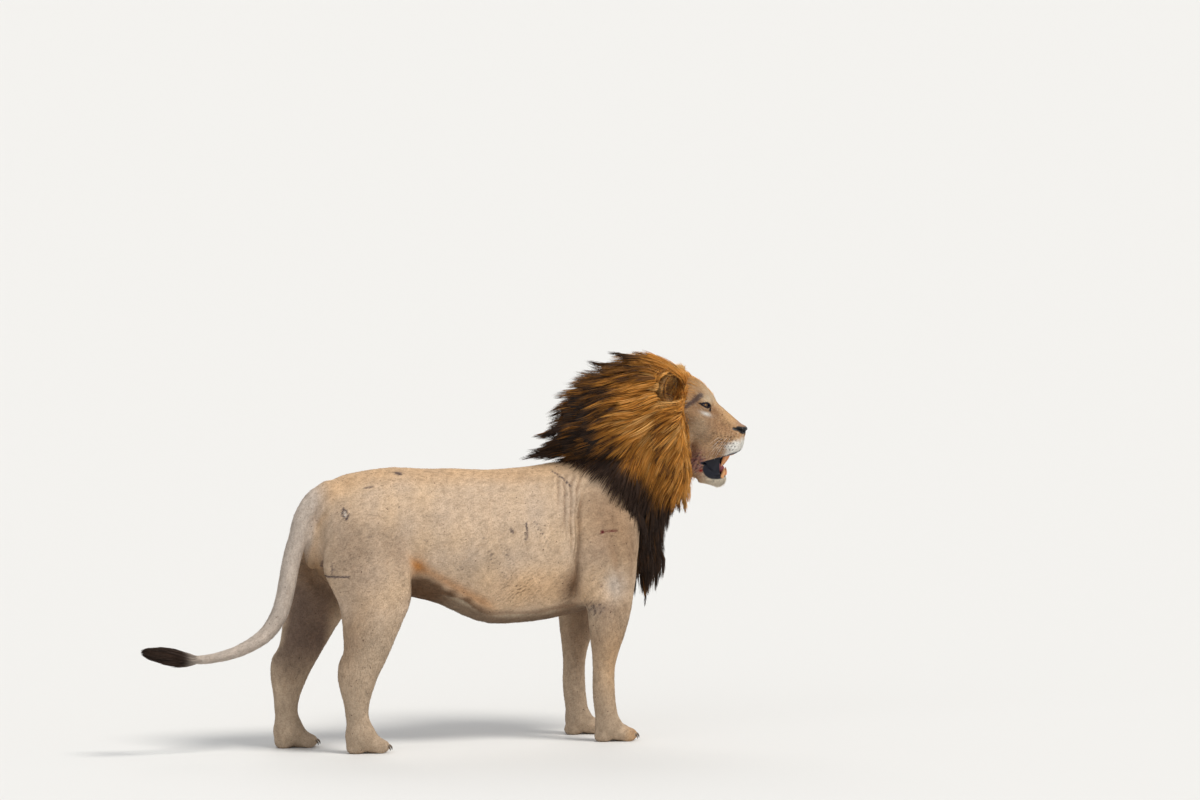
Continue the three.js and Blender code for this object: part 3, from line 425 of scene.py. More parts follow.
rooms = union(30, [
    blob((95, 0, -90), (150, 125, 150)), blob((70, 0, -215), (105, 92, 150)),
    *pair(lambda s: blob((EAR_X + 16, s * (EAR_SIDE + 78), EAR_Z + 18), (48, 84, 68)))])


def mane_edge(q):
    """How far a place of the head is in front of the mane's slanting edge."""
    return q[0] + 37 + 0.178 * q[2]


def mane(p):
    q = to_head(p)
    mass = smin(smin(mane_mass(p), ruff(q), 50), mane_locks(p), 26)
    return smax(mass, -smin(-0.98 * mane_edge(q), rooms(q), 30), 24)


def gradient(field, p, h=1.0):
    d = field(p)
    g = np.empty_like(p)
    for axis in range(3):
        q = p.copy()
        q[axis] += h
        g[axis] = (field(q) - d) / h
    return d, g


def unit(v):
    return v / np.maximum(np.linalg.norm(v, axis=0), 1e-9)


# ---- Meshing: surface nets over the grid cells that the surface can reach ----
BLOCK = 4


CORNERS = [(i, j, k) for i in (0, 1) for j in (0, 1) for k in (0, 1)]


def corner_values(grid, cells):
    return np.stack([grid[tuple(slice(o, o + n) for o, n in zip(c, cells))] for c in CORNERS])


def crossings(value, cell):
    """The middle of the places where the surface crosses each cell's edges."""
    at = [value[tuple(cell + np.array(c)[:, None])] for c in CORNERS]
    total, count = np.zeros(cell.shape), np.zeros(cell.shape[1])
    for a in range(8):
        for b in range(a + 1, 8):
            ca, cb = np.array(CORNERS[a]), np.array(CORNERS[b])
            if np.abs(ca - cb).sum() != 1:
                continue
            crossed = (at[a] < 0) != (at[b] < 0)
            t = np.where(crossed, at[a] / np.where(crossed, at[a] - at[b], 1), 0)
            total += crossed * (ca[:, None] + (cb - ca)[:, None] * t)
            count += crossed
    return total / count


def surface_quads(inside, number):
    """A quad for each grid edge that passes the surface, from the numbers of the cells round it."""
    quads = []
    for axis in range(3):
        u, v = [a for a in range(3) if a != axis]
        first = [slice(None)] * 3
        second = [slice(None)] * 3
        first[axis], second[axis] = slice(0, -1), slice(1, None)
        change = inside[tuple(first)] != inside[tuple(second)]
        for a in (u, v):
            edge = [slice(None)] * 3
            edge[a] = slice(0, 1)
            change[tuple(edge)] = False
            edge[a] = slice(-1, None)
            change[tuple(edge)] = False
        where = np.stack(np.nonzero(change))
        turn = []
        for du, dv in ((1, 1), (0, 1), (0, 0), (1, 0)):
            c = where.copy()
            c[u] -= du
            c[v] -= dv
            turn.append(number[tuple(c)])
        quad = np.stack(turn, 1)
        flip = inside[tuple(where)] == (axis == 1)
        quad[flip] = quad[flip][:, ::-1]
        quads.append(quad)
    quads = np.concatenate(quads)
    return quads[(quads >= 0).all(1)]


def surface(field, low, high, step):
    """The zero surface in the body's frame: its points, one in each column, and its quads."""
    low = np.array(low, float)
    blocks = np.ceil((np.array(high) - low) / (step * BLOCK)).astype(int)
    axes = [low[a] + np.arange(blocks[a] + 1) * step * BLOCK for a in range(3)]
    coarse = np.stack(np.meshgrid(*axes, indexing="ij")).reshape(3, -1)
    rough = field(coarse).reshape(blocks + 1)
    reached = np.abs(corner_values(rough, blocks)).min(0) < step * BLOCK * 1.3
    size = blocks * BLOCK + 1
    value = np.repeat(np.repeat(np.repeat(np.sign(rough), BLOCK, 0), BLOCK, 1), BLOCK, 2)
    value = value[:size[0], :size[1], :size[2]] * 1e3
    inner = np.stack(np.meshgrid(*[np.arange(BLOCK + 1)] * 3, indexing="ij")).reshape(3, 1, -1)
    index = (np.stack(np.nonzero(reached))[:, :, None] * BLOCK + inner).reshape(3, -1)
    flat = np.unique(np.ravel_multi_index(index, size))
    nodes = np.stack(np.unravel_index(flat, size))
    value.ravel()[flat] = np.concatenate(
        [field(low[:, None] + part * step) for part in np.array_split(nodes, 12, axis=1)])
    cells = size - 1
    mixed = corner_values(value < 0, cells)
    active = mixed.any(0) & ~mixed.all(0)
    cell = np.stack(np.nonzero(active))
    points = low[:, None] + (cell + crossings(value, cell)) * step
    number = np.full(cells, -1)
    number[active] = np.arange(cell.shape[1])
    quads = surface_quads(value < 0, number)
    for _ in range(3):
        d, g = gradient(field, points)
        points = points - g * np.clip(d / np.maximum((g * g).sum(0), 0.1), -step / 3, step / 3)
    return points, quads


# ---- Colour: one function of place for the skin and for every tuft ----
def rgb(r, g, b):
    """A colour as linear values, from the usual 0 to 255 ones."""
    return np.array([c / 12.92 if c <= 0.04045 else ((c + 0.055) / 1.055) ** 2.4
                     for c in (r / 255, g / 255, b / 255)])


SAND, WARM, GREY = rgb(214, 184, 150), rgb(208, 164, 114), rgb(196, 178, 162)
HAUNCH, DEEP_UMBER, PALE_GREY = rgb(158, 136, 116), rgb(92, 64, 40), rgb(206, 196, 186)
CREAM, UMBER, RUST = rgb(222, 205, 178), rgb(134, 104, 78), rgb(186, 124, 62)
TAIL_GREY, LEG_TONE, SOOT = rgb(194, 180, 167), rgb(182, 160, 136), rgb(38, 30, 28)
FACE_TAN, FACE_BROWN, WHITE_HAIR = rgb(208, 168, 124), rgb(158, 116, 82), rgb(243, 240, 232)
ORANGE, TAWNY, BROWN, DARK = rgb(230, 158, 68), rgb(192, 126, 48), rgb(120, 80, 38), rgb(68, 48, 36)
LIP, MOUTH, NOSE_BLACK, SORE = rgb(18, 18, 32), rgb(28, 31, 56), rgb(18, 16, 17), rgb(164, 116, 108)
FAR_LEG_SHADE, ARM_BROWN, ELBOW_GREY = rgb(98, 78, 68), rgb(140, 102, 62), rgb(112, 96, 92)
CROWN_TAN, BROW_GREY, NOSE_BRIDGE = rgb(206, 146, 78), rgb(92, 80, 82), rgb(168, 134, 120)
SCAB, BLOOD, EAR_TAN = rgb(96, 74, 78), rgb(150, 30, 26), rgb(236, 188, 122)
EAR_HOLLOW_SHADE, MANE_GOLD, TONGUE_ROOT = rgb(150, 114, 84), rgb(236, 182, 108), rgb(150, 74, 84)
TONGUE_TIP, EYE_RING, PUPIL_BLACK = rgb(206, 112, 118), rgb(120, 96, 78), rgb(8, 7, 8)


def noise(p, size, seed=0):
    """Smooth values between about -1 and 1 that change over a length of size."""
    r = np.random.default_rng(seed)
    total = np.zeros(p.shape[1:])
    for _ in range(7):
        wave = r.normal(size=3)
        wave *= r.uniform(0.6, 1.5) / np.linalg.norm(wave) * 2 * math.pi / size
        total += np.sin(wave @ p + r.uniform(0, 6.28))
    return total / 2.6


def near(p, centre, radii):
    return np.exp(-sum(((p[i] - centre[i]) / radii[i]) ** 2 for i in range(3)))


def paint(base, colour, amount):
    amount = np.clip(amount, 0, 1)
    return base + (colour[:, None] - base) * amount


def patches(c, p, rows):
    """Soft patches on both sides: colour, amount, centre (distance from the midline), radii."""
    for colour, amount, (x, y, z), radii in rows:
        c = paint(c, colour, amount * near(p, (x, np.sign(p[1]) * y, z), radii))
    return c


def stroke(p, x0, z0, x1, z1, radius):
    """Distance from a stroke drawn on the animal's right side, less its radius."""
    dx, dz = x1 - x0, z1 - z0
    t = np.clip(((p[0] - x0) * dx + (p[2] - z0) * dz) / max(dx * dx + dz * dz, 1), 0, 1)
    return np.hypot(p[0] - x0 - t * dx, p[2] - z0 - t * dz) - radius


SCAR, WOUND = rgb(58, 48, 58), rgb(96, 26, 30)
SCARS = [  # from x, z to x, z, radius, strength: healed scars and scratches of the right side
    (-643, 1012, -632, 990, 2.5, 0.9), (-632, 990, -645, 970, 2.5, 0.9), (-645, 970, -656, 988, 2.5, 0.9),
    (-656, 988, -643, 1012, 2.5, 0.9), (-712, 796, -713, 750, 1.8, 0.6), (-732, 740, -648, 738, 2.6, 0.9),
    (-712, 772, -694, 764, 1.6, 0.5), (-386, 1140, -368, 1136, 5.0, 0.8), (-540, 1088, -505, 1094, 2.0, 0.7),
    (60, 906, 68, 894, 5.0, 0.8), (128, 925, 130, 902, 4.5, 0.9), (128, 890, 124, 862, 4.0, 0.6),
    (166, 933, 196, 884, 1.3, 0.6), (196, 884, 224, 822, 1.3, 0.5), (25, 730, 47, 704, 2.0, 0.6),
    (-62, 878, -54, 872, 3.0, 0.6), (-304, 874, -298, 868, 3.5, 0.5), (292, 1124, 325, 1098, 2.0, 0.8),
    (325, 1098, 352, 1064, 2.4, 0.9), (423, 686, 424, 684, 3.5, 0.9), (454, 660, 455, 658, 3.0, 0.8),
    (-410, 1010, -408, 1008, 2.5, 0.7), (-560, 900, -556, 898, 2.5, 0.7), (-160, 760, -140, 748, 2.0, 0.6)]
GROOVE = np.array([(560, 380), (620, 372), (760, 357), (950, 370), (1040, 400), (1100, 430)])  # z, x


BELLY_FOLD = 56  # above the trunk's lowest line
SHOULDER_EDGE = np.array([(560, 655), (700, 650), (875, 632), (1036, 552), (1126, 470), (1190, 405)])  # z, x


def past_shoulder(p):
    """How far a place is in front of the line where the mane's dark hair ends on the shoulder."""
    return p[0] - np.interp(p[2], SHOULDER_EDGE[:, 0], SHOULDER_EDGE[:, 1])


def from_groove(p):
    """How far behind the fold of the shoulder a place is."""
    return np.interp(p[2], GROOVE[:, 0], GROOVE[:, 1]) - p[0]


def above_belly(p):
    """Height over the fold that runs a little above the belly's lowest line."""
    return p[2] - np.interp(p[0], TRUNK_X, TRUNK_FINE[:, 2]) - BELLY_FOLD


def skin_folds(p):
    """The fine folds behind the shoulder: -1 in a valley to 1 on a ridge, fading out around them."""
    back, z = from_groove(p), p[2]
    reach = np.interp(z, [760, 860, 1080], [30, 70, 190])
    amount = ramp(back, reach, 0.5 * reach) * ramp(back, 4, 14) * ramp(z, 740, 800) * ramp(z, 1130, 1080)
    spacing = np.interp(z, [760, 1080], [3.4, 5.0])
    return amount * (np.abs(p[1]) > 60) * np.sin(back / spacing + 0.9 * noise(p, 110, 11))


def trunk_colour(p):
    x, y, z = p
    side, hand = np.abs(y), np.sign(y)
    c = np.repeat(SAND[:, None], p.shape[1], 1)
    spine = np.interp(x, TRUNK_X, TRUNK_FINE[:, 1])
    c = paint(c, GREY, 0.34 + 0.14 * noise(p, 190, 41))
    c = paint(c, WARM, 0.45 * ramp(z, spine - 90 + 24 * noise(p, 240, 1), spine - 8) * (z > 600))
    c = patches(c, p, [
        (HAUNCH, 0.85, (-640, 180, 820), (130, 110, 210)),
        (HAUNCH, 0.5, (-480, 180, 860), (90, 110, 70)),
        (WARM, 0.5, (180, 200, 650), (260, 110, 80)),
        (UMBER, 0.3, (-420, 180, 800), (60, 110, 90))])
    flank = z + 0.56 * (x + 290)
    under = ramp(x, -400, -350) * ramp(x, 60, -40)
    c = paint(c, RUST, 0.5 * near(p, (-330, hand * 150, 756), (34, 90, 50)) + 0.5 * under * np.exp(
        -(((flank - 745) / 24) ** 2)))
    # Painted shade: deep umber on the underside below the flank line, where the belly faces away from the
    # light.
    c = paint(c, DEEP_UMBER, 0.92 * ramp(flank + 8 * noise(p, 90, 44), 738, 706) * under * ramp(z, 740, 700))
    # Painted shade: umber and deep umber at the low end of the groove behind the elbow.
    c = patches(c, p, [
        (UMBER, 0.7, (320, 180, 655), (40, 70, 70)),
        (DEEP_UMBER, 0.9, (348, 180, 655), (22, 70, 90))])
    # Painted shade: umber along the fold a little above the belly, where creases() sinks the skin; the cream
    # below is the belly's own colour.
    line = above_belly(p) - 6 * noise(p, 150, 42)
    c = paint(c, UMBER, 0.55 * np.exp(-((line / 12) ** 2)) * ramp(x, -130, -40) * ramp(x, 420, 340))
    c = paint(c, CREAM, 0.95 * ramp(line, -6, -16) * ramp(x, -240, -120) * ramp(x, 480, 380))
    # Painted shade: deep umber along the groove behind the shoulder, where creases() sinks the skin; the
    # umber in front of it is the shoulder's own tone.
    back_of_groove = from_groove(p)
    c = paint(c, DEEP_UMBER, 0.6 * np.exp(-((back_of_groove / 9) ** 2)) * (side > 60) * ramp(z, 560, 620)
              * ramp(z, 1080, 980))
    c = paint(c, UMBER, 0.35 * ramp(back_of_groove, 0, -30) * ramp(z, 700, 800) * ramp(z, 1120, 1000))
    return c


def limb_colour(c, p):
    x, y, z = p
    side, hand = np.abs(y), np.sign(y)
    c = paint(c, LEG_TONE, ramp(z, 620, 420))
    c = paint(c, UMBER, 0.5 * near(p, (-640 - 0.3 * (480 - z), hand * 180, 480), (60, 90, 190)))
    # Painted shade: deep umber near the midline between the legs, where they shade each other.
    c = paint(c, DEEP_UMBER, 0.8 * ramp(side, 126, 76) * ramp(z, 860, 740) * ramp(z, 160, 380))
    # Painted shade: the far hind leg darkened at its top, where it lies in the body's shadow.
    far_leg_shade = (ramp(y, 60, 110) * ramp(y, 168, 124) * ramp(x, -600, -660) * ramp(z, 800, 640)
               * ramp(z, 260, 460))
    c = paint(c, FAR_LEG_SHADE, 0.85 * far_leg_shade)
    c = patches(c, p, [
        (PALE_GREY, 0.75, (515, 200, 668), (48, 70, 66)),
        (ARM_BROWN, 0.5, (510, 190, 930), (110, 90, 200))])
    # Painted light: the lower flank brightened, where it faces a little down and would get less light.
    c = c * (1 + 0.14 * near(p, (120, hand * 200, 640), (220, 120, 110)))
    # Painted shade: umber in the grooves on and in front of the upper arm, where creases() sinks the skin.
    c = paint(c, UMBER, 0.5 * near(p, (585, hand * 170, 760), (34, 90, 130)))
    c = paint(c, UMBER, 0.55 * near(p, (512 - 0.25 * (z - 760), hand * 190, 740), (16, 90, 90)))
    c = paint(c, UMBER, 0.35 * ramp(z, 620, 560) * ramp(z, 240, 460) * (x > 300))
    c = paint(c, TAIL_GREY, ramp(tail(p), 34, 4) * ramp(x, -660, -760))
    c = paint(c, WARM, 0.55 * near(p, (-722, 0, 860), (46, 46, 150)))
    c = paint(c, WARM, 0.45 * near(p, (520, hand * 180, 330), (70, 60, 150)))
    return c


def body_colour(p):
    """The trunk's and limbs' colours, then the specks, scars and wound over them."""
    y, z = p[1], p[2]
    hand, right = np.sign(y), y < -40
    c = limb_colour(trunk_colour(p), p)
    speck = ramp(noise(p, 17, 43), 0.35, 0.9)
    c = paint(c, SOOT, 0.95 * speck * near(p, (440, hand * 190, 570), (60, 80, 42)))
    c = paint(c, ELBOW_GREY, 0.5 * near(p, (440, hand * 190, 566), (54, 80, 30)))
    c = paint(c, DEEP_UMBER, 0.7 * speck * near(p, (100, hand * 190, 650), (90, 80, 60)))
    c = paint(c, SCAR, 0.6 * speck * near(p, (-24, hand * 190, 800), (22, 80, 42)))
    c = paint(c, SCAR, 0.7 * speck * near(p, (42 + 0.5 * (z - 800) * -1, hand * 190, 800), (16, 80, 50)))
    # Painted shade: deep umber in the valleys of the fine folds behind the shoulder.
    c = paint(c, DEEP_UMBER, 0.5 * np.maximum(-skin_folds(p), 0))
    c = paint(c, DARK, 0.85 * ramp(past_shoulder(p) + 12 * noise(p, 60, 45), 4, 34) * (z > 560)
              * ramp(z, 1200, 1170))
    c = c * (1.02 + 0.03 * noise(p, 130, 2) + 0.06 * noise(p, 37, 3) + 0.04 * noise(p, 16, 4))
    for x0, z0, x1, z1, radius, strength in SCARS:
        c = paint(c, SCAR, strength * ramp(stroke(p, x0, z0, x1, z1, radius), 2.5, -1) * right)
    c = paint(c, PALE_GREY, 0.8 * ramp(stroke(p, -644, 996, -645, 984, 3), 3, 0) * right)
    wound = np.minimum(stroke(p, 463, 878, 468, 878, 6), stroke(p, 470, 879, 525, 882, 1.6))
    c = paint(c, WOUND, ramp(wound, 2.5, -1) * right)
    return c


def face_colour(q):
    x, y, z = q
    side = np.abs(y)
    c = np.repeat(FACE_TAN[:, None], q.shape[1], 1)
    c = paint(c, FACE_BROWN, 0.40 + 0.30 * noise(q, 60, 4) - 0.8 * near(q, (50, 0, 40), (80, 44, 60)))
    cheek = near(q, (80, np.sign(y) * 70, -110), (90, 60, 90))
    c = paint(c, UMBER, 0.8 * ramp(noise(q, 9, 71) + 0.6 * noise(q, 24, 72), 0.0, 0.9) * cheek)
    c = paint(c, DEEP_UMBER, 0.8 * ramp(noise(q, 8, 74), 0.9, 1.3) * ramp(z, 10, -30) * ramp(side, 20, 40))
    c = paint(c, CREAM, 0.45 * ramp(noise(q, 13, 73), 0.5, 1.1) * (1 - cheek))
    c = patches(c, q, [
        (CREAM, 0.45, (40, 0, 44), (70, 60, 40)),
        (CREAM, 0.5, (19, 80, -95), (46, 40, 60)),
        (WARM, 0.55, (140, 0, -36), (60, 40, 40))])
    c = paint(c, WARM, 0.7 * ramp(x, 36, -44) * ramp(z, -10, 60))
    c = paint(c, CROWN_TAN, 0.9 * ramp(y, 4, 18) * ramp(x, 48, 20) * ramp(z, 24, 40))
    c = paint(c, CREAM, 0.75 * near(q, (38, np.sign(y) * 58, 24), (34, 26, 16)))
    along = np.clip(((x - 8) * -44 + (z - 36) * -48) / 4240, 0, 1)
    streak = np.hypot(x - 8 + 44 * along, z - 36 + 48 * along) + 2.5 * noise(q, 16, 6)
    c = paint(c, BROW_GREY, 0.85 * ramp(streak, 13, 6) * (side > 30))
    c = paint(c, WHITE_HAIR, 2.2 * near(q, (31, np.sign(y) * 64, -33 - 0.3 * (x - 31)), (22, 22, 7)))
    front = ramp(x - 1.5 * np.maximum(z + 150, 0) + 7 * noise(q, 30, 9), 118, 158) * ramp(
        z + 6 * noise(q, 24, 10) + 0.25 * side, -98, -128) * (0.72 + 0.28 * ramp(z, -116, -146))
    c = paint(c, WHITE_HAIR, front * ramp(z, -250, -226))
    c = paint(c, NOSE_BRIDGE, 0.8 * near(q, (190, 0, -66), (34, 30, 14)))
    c = paint(c, WHITE_HAIR, ramp(z, -262, -290) * ramp(x, 58, 94))
    c = paint(c, CREAM, 0.8 * ramp(z, -262, -300) * ramp(x, 8, 70))
    c = paint(c, UMBER, 0.85 * ramp(noise(q, 15, 7), 0.7, 1.2)
              * near(q, (88, np.sign(y) * 70, -100), (80, 60, 80)))
    c = paint(c, FACE_BROWN * 0.8, 0.6 * near(q, (66, np.sign(y) * 60, -62), (44, 40, 40)))
    sore = 1.25 * near(q, (26, np.sign(y) * 72, -238), (36, 44, 50))
    c = paint(c, SORE, sore * (0.72 + 0.5 * noise(q, 16, 5)))
    c = paint(c, SCAB, sore * ramp(noise(q, 11, 8), 0.2, 0.9))
    c = paint(c, BLOOD, 1.5 * near(q, (40, -66, -270), (7, 20, 6)))
    for row in range(5):
        top = -118 - row * 13 + 0.06 * (x - 140)
        spot = (x + 6 * (row % 2)) % 13 - 6.5
        near_spot = np.exp(-((spot / 2.0) ** 2 + ((z - top) / 1.9) ** 2))
        c = paint(c, SOOT, 1.6 * near_spot * ramp(x, 84, 104) * ramp(x, 182, 166) * (side > 22))
    return c


def skin_colour(p):
    q = to_head(p)
    c = body_colour(p)
    face = ramp(q[0], -150, -70)
    c = c * (1 - face) + face_colour(q) * face
    ear = nearer_ear(ear_shell, q) - 10
    on_ear = ramp(ear, 4, -6) * ramp(q[2], -10, 12)
    c = paint(c, EAR_TAN, on_ear)
    # Painted shade: darker brown in the hollow of each ear.
    cup = nearer_ear(ear_cup, q)
    c = paint(c, EAR_HOLLOW_SHADE, on_ear * ramp(cup, 4, 0))
    back = ramp(q[0], EAR_X - 14, EAR_X - 30) * ramp(np.abs(q[1]), EAR_SIDE + 22, EAR_SIDE + 6)
    c = paint(c, SOOT, on_ear * back * 0.9)
    for side in SIDES:
        edge, radius = eye_opening(q, side)
        close = ramp(radius, 42, 32)
        c = paint(c, LIP, close * ramp(edge, 8.4, 5.4))
        tear = lock((33, side * 57, -7, 8.0), (60, side * 46, -27, 3.5))(q)
        c = paint(c, LIP, ramp(tear, 5, 1))
    c = paint(c, LIP, lip_amount(q) * face)
    inside = np.maximum(mouth_inside(q), -30)
    c = paint(c, MOUTH, ramp(inside, 6, 1) * face)
    c = paint(c, NOSE_BLACK, ramp(nose_pad(q) - 0.6, 3.0, 1.2) * face * ramp(q[2], -72, -77))
    c = paint(c, NOSE_BLACK, ramp(nostrils(q), 5, 2.5) * face)
    parting = ramp(np.abs(q[1]), 2.8, 1.0) * ramp(q[0], 150, 160)
    c = paint(c, NOSE_BLACK, 0.8 * parting * ramp(q[2], -182, -174) * ramp(q[2], -100, -106))
    return np.clip(c, 0.002, 1)


# ---- Mesh objects ----
ROW_OFFSET = np.array(sum(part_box("eye_right"), Vector()) / 2) - from_head(
    np.array([[EYE_X], [-EYE_SIDE], [0.0]]))[:, 0] / 1000


def place(points):
    return np.asarray(points) / 1000 + ROW_OFFSET


def mesh_object(name, points, faces, look, colour, uv=None):
    """Points are rows in millimetres, faces rows of corners, colour per point, uv per corner."""
    faces = np.ascontiguousarray(faces, dtype=np.int32)
    mesh = bpy.data.meshes.new(name)
    mesh.vertices.add(len(points))
    mesh.vertices.foreach_set("co", place(points).astype(np.float32).ravel())
    mesh.loops.add(faces.size)
    mesh.loops.foreach_set("vertex_index", faces.ravel())
    mesh.polygons.add(len(faces))
    mesh.polygons.foreach_set("loop_start", np.arange(len(faces), dtype=np.int32) * faces.shape[1])
    mesh.polygons.foreach_set("use_smooth", np.ones(len(faces), bool))
    mesh.update(calc_edges=True)
    layer = mesh.color_attributes.new("Tone", "FLOAT_COLOR", "POINT")
    rgba = np.ones((len(points), 4), np.float32)
    rgba[:, :3] = colour
    layer.data.foreach_set("color", rgba.ravel())
    if uv is not None:
        mesh.uv_layers.new(name="OFBake").data.foreach_set("uv", uv.astype(np.float32).ravel())
    mesh.materials.append(look)
    thing = bpy.data.objects.new(name, mesh)
    bpy.context.collection.objects.link(thing)
    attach(thing, "root")
    return thing


def settings(node, **values):
    """Sets a node's inputs, each named by its socket with _ for a space."""
    for socket, value in values.items():
        node.inputs[socket.replace("_", " ")].default_value = value
    return node


# ---- Materials: the colour comes from the mesh, with fine marks from its place ----
def material(name, roughness, speckle=0.0, bump=0.0, coat=0.0, spots=0.0):
    m = bpy.data.materials.new(name)
    m.use_nodes = True
    nodes, links = m.node_tree.nodes, m.node_tree.links
    shader = settings(nodes["Principled BSDF"], Roughness=roughness, Specular_IOR_Level=0.25,
                      Coat_Weight=coat, Coat_Roughness=0.12)
    tone = nodes.new("ShaderNodeVertexColor")
    tone.layer_name = "Tone"
    last = tone.outputs["Color"]
    coords = nodes.new("ShaderNodeTexCoord")

    def mark(scale, stretch, low, high, amount, dark):
        """Darkens where a noise of this scale passes from low to high."""
        nonlocal last
        shape = settings(nodes.new("ShaderNodeMapping"), Scale=stretch)
        grain = settings(nodes.new("ShaderNodeTexNoise"), Scale=scale, Detail=3)
        band = settings(nodes.new("ShaderNodeMapRange"), From_Min=low, From_Max=high, To_Max=amount)
        blend = nodes.new("ShaderNodeMix")
        blend.data_type, blend.blend_type = "RGBA", "MULTIPLY"
        blend.inputs[7].default_value = (*dark, 1)
        links.new(coords.outputs["Object"], shape.inputs["Vector"])
        links.new(shape.outputs["Vector"], grain.inputs["Vector"])
        links.new(grain.outputs[0], band.inputs["Value"])
        links.new(band.outputs[0], blend.inputs[0])
        links.new(last, blend.inputs[6])
        last = blend.outputs[2]
        return grain
    if speckle:
        mark(170, (1, 1, 1), 0.42, 0.66, speckle, (0.5, 0.42, 0.36))
        mark(34, (1, 1, 1), 0.5, 0.68, speckle * 0.6, (0.72, 0.66, 0.6))
    if spots:
        mark(90, (1, 1, 1), 0.69, 0.73, spots, (0.22, 0.18, 0.17))
    links.new(last, shader.inputs["Base Color"])
    if bump:
        grain = mark(260, (0.25, 1, 1), 0.5, 0.9, 0.0, (1, 1, 1))
        push = settings(nodes.new("ShaderNodeBump"), Strength=bump, Distance=0.002)
        links.new(grain.outputs[0], push.inputs["Height"])
        links.new(push.outputs["Normal"], shader.inputs["Normal"])
    return m


SKIN = material("Skin", 0.75, speckle=0.4, bump=0.5, spots=0.9)
FUR = material("Short_fur", 0.8, speckle=0.4, spots=0.9)
HAIR = material("Mane_hair", 0.62)
WET = material("Wet_skin", 0.3, coat=0.08)

# ---- The skin ----
BODY_STEP, HEAD_STEP = ((7.5, 3.0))
BODY_BOX = (-1345, -300, -14), (1000, 300, 1520)
HEAD_BOX = (660, -330, 990), (1170, 210, 1560)
SEAM_X, SEAM_Z = -185, 1004


def creases(p):
    """How far the skin of the body is pushed out of its field, in millimetres."""
    x, y, z = p
    side = np.abs(y) > 60
    back = from_groove(p)
    push = -17 * np.exp(-((back / 12) ** 2)) * ramp(z, 560, 640) * ramp(z, 1090, 980) * side
    push += 6 * np.exp(-(((back + 42) / 28) ** 2)) * ramp(z, 600, 700) * ramp(z, 1090, 980) * side
    push += 5.0 * skin_folds(p)
    thigh = near(p, (-330, np.sign(y) * 150, 690), (46, 70, 70))
    push -= 12 * thigh * side
    hip = near(p, (-470, np.sign(y) * 110, 1075), (60, 60, 40))
    push += 7 * hip
    ribs = ramp(x, -220, -120) * ramp(x, 250, 150) * ramp(z, 700, 800) * ramp(z, 1050, 950) * side
    push += 1.3 * ribs * np.sin((x + 0.25 * z) / 13)
    arm = near(p, (560, np.sign(y) * 180, 770), (30, 60, 90))
    push += 9 * arm - 9 * near(p, (598 - 0.2 * (z - 800), np.sign(y) * 170, 800), (13, 60, 80))
    push -= 8 * near(p, (520 - 0.25 * (z - 760), np.sign(y) * 190, 760), (16, 60, 80))
    push += 8 * near(p, (535, np.sign(y) * 200, 665), (30, 60, 44))
    push -= 8 * near(p, (492, np.sign(y) * 190, 650), (14, 60, 40))
    push += 8 * near(p, (440, np.sign(y) * 200, 600), (34, 60, 36))
    crease = above_belly(p)
    push -= 3 * np.exp(-((crease / 14) ** 2)) * ramp(x, -130, -40) * ramp(x, 420, 340)
    calm = (1 - ramp(tail(p), 60, 20) * ramp(x, -640, -720)) * (0.35 + 0.65 * ramp(z, 420, 640))
    push = (push + 1.8 * noise(p, 210, 13) + 0.5 * noise(p, 62, 14)) * calm
    for fx, fy in FEET:
        between = np.min([np.abs(y - fy - offset) for offset in (-28.5, 0, 28.5)], axis=0)
        push -= 6 * np.exp(-((between / 5) ** 2)) * ramp(x, fx + 52, fx + 84) * ramp(z, 76, 56) * (
            np.abs(y - fy) < 60) * (x < fx + 150)
    return push


def join(parts):
    points, faces, count = [], [], 0
    for p, f in parts:
        points.append(p)
        faces.append(f + count)
        count += len(p)
    return np.concatenate(points), np.concatenate(faces)


def kept(points, quads, keep):
    quads = quads[keep[quads].all(1)]
    used, index = np.unique(quads, return_inverse=True)
    return points[:, used], index.reshape(quads.shape)


def past_seam(p):
    """How far a place is on the head's side of the seam, which the mane hides."""
    return np.minimum(to_head(p)[0] - SEAM_X, p[2] - SEAM_Z)


def make_skin():
    points, quads = surface(skin_field, *BODY_BOX, BODY_STEP)
    points, quads = kept(points, quads, past_seam(points) < 14)
    push = creases(points) * ramp(past_seam(points), -60, -160)
    _, g = gradient(skin_field, points)
    points = points + unit(g) * push
    points[2] = np.maximum(points[2], PAW_FLAT)
    head, head_quads = surface(skin_field, *HEAD_BOX, HEAD_STEP)
    head, head_quads = kept(head, head_quads, past_seam(head) > 0)
    return join([(points.T, quads), (head.T, head_quads)])


def unwrap(thing):
    bpy.context.view_layer.objects.active = thing
    thing.select_set(True)
    bpy.ops.object.mode_set(mode="EDIT")
    bpy.ops.mesh.select_all(action="SELECT")
    bpy.ops.uv.smart_project(angle_limit=math.radians(66), island_margin=0.001)
    bpy.ops.object.mode_set(mode="OBJECT")
    thing.select_set(False)
    uv = np.empty(len(thing.data.loops) * 2, np.float32)
    thing.data.uv_layers["OFBake"].data.foreach_get("uv", uv)
    return uv.reshape(-1, 4, 2)


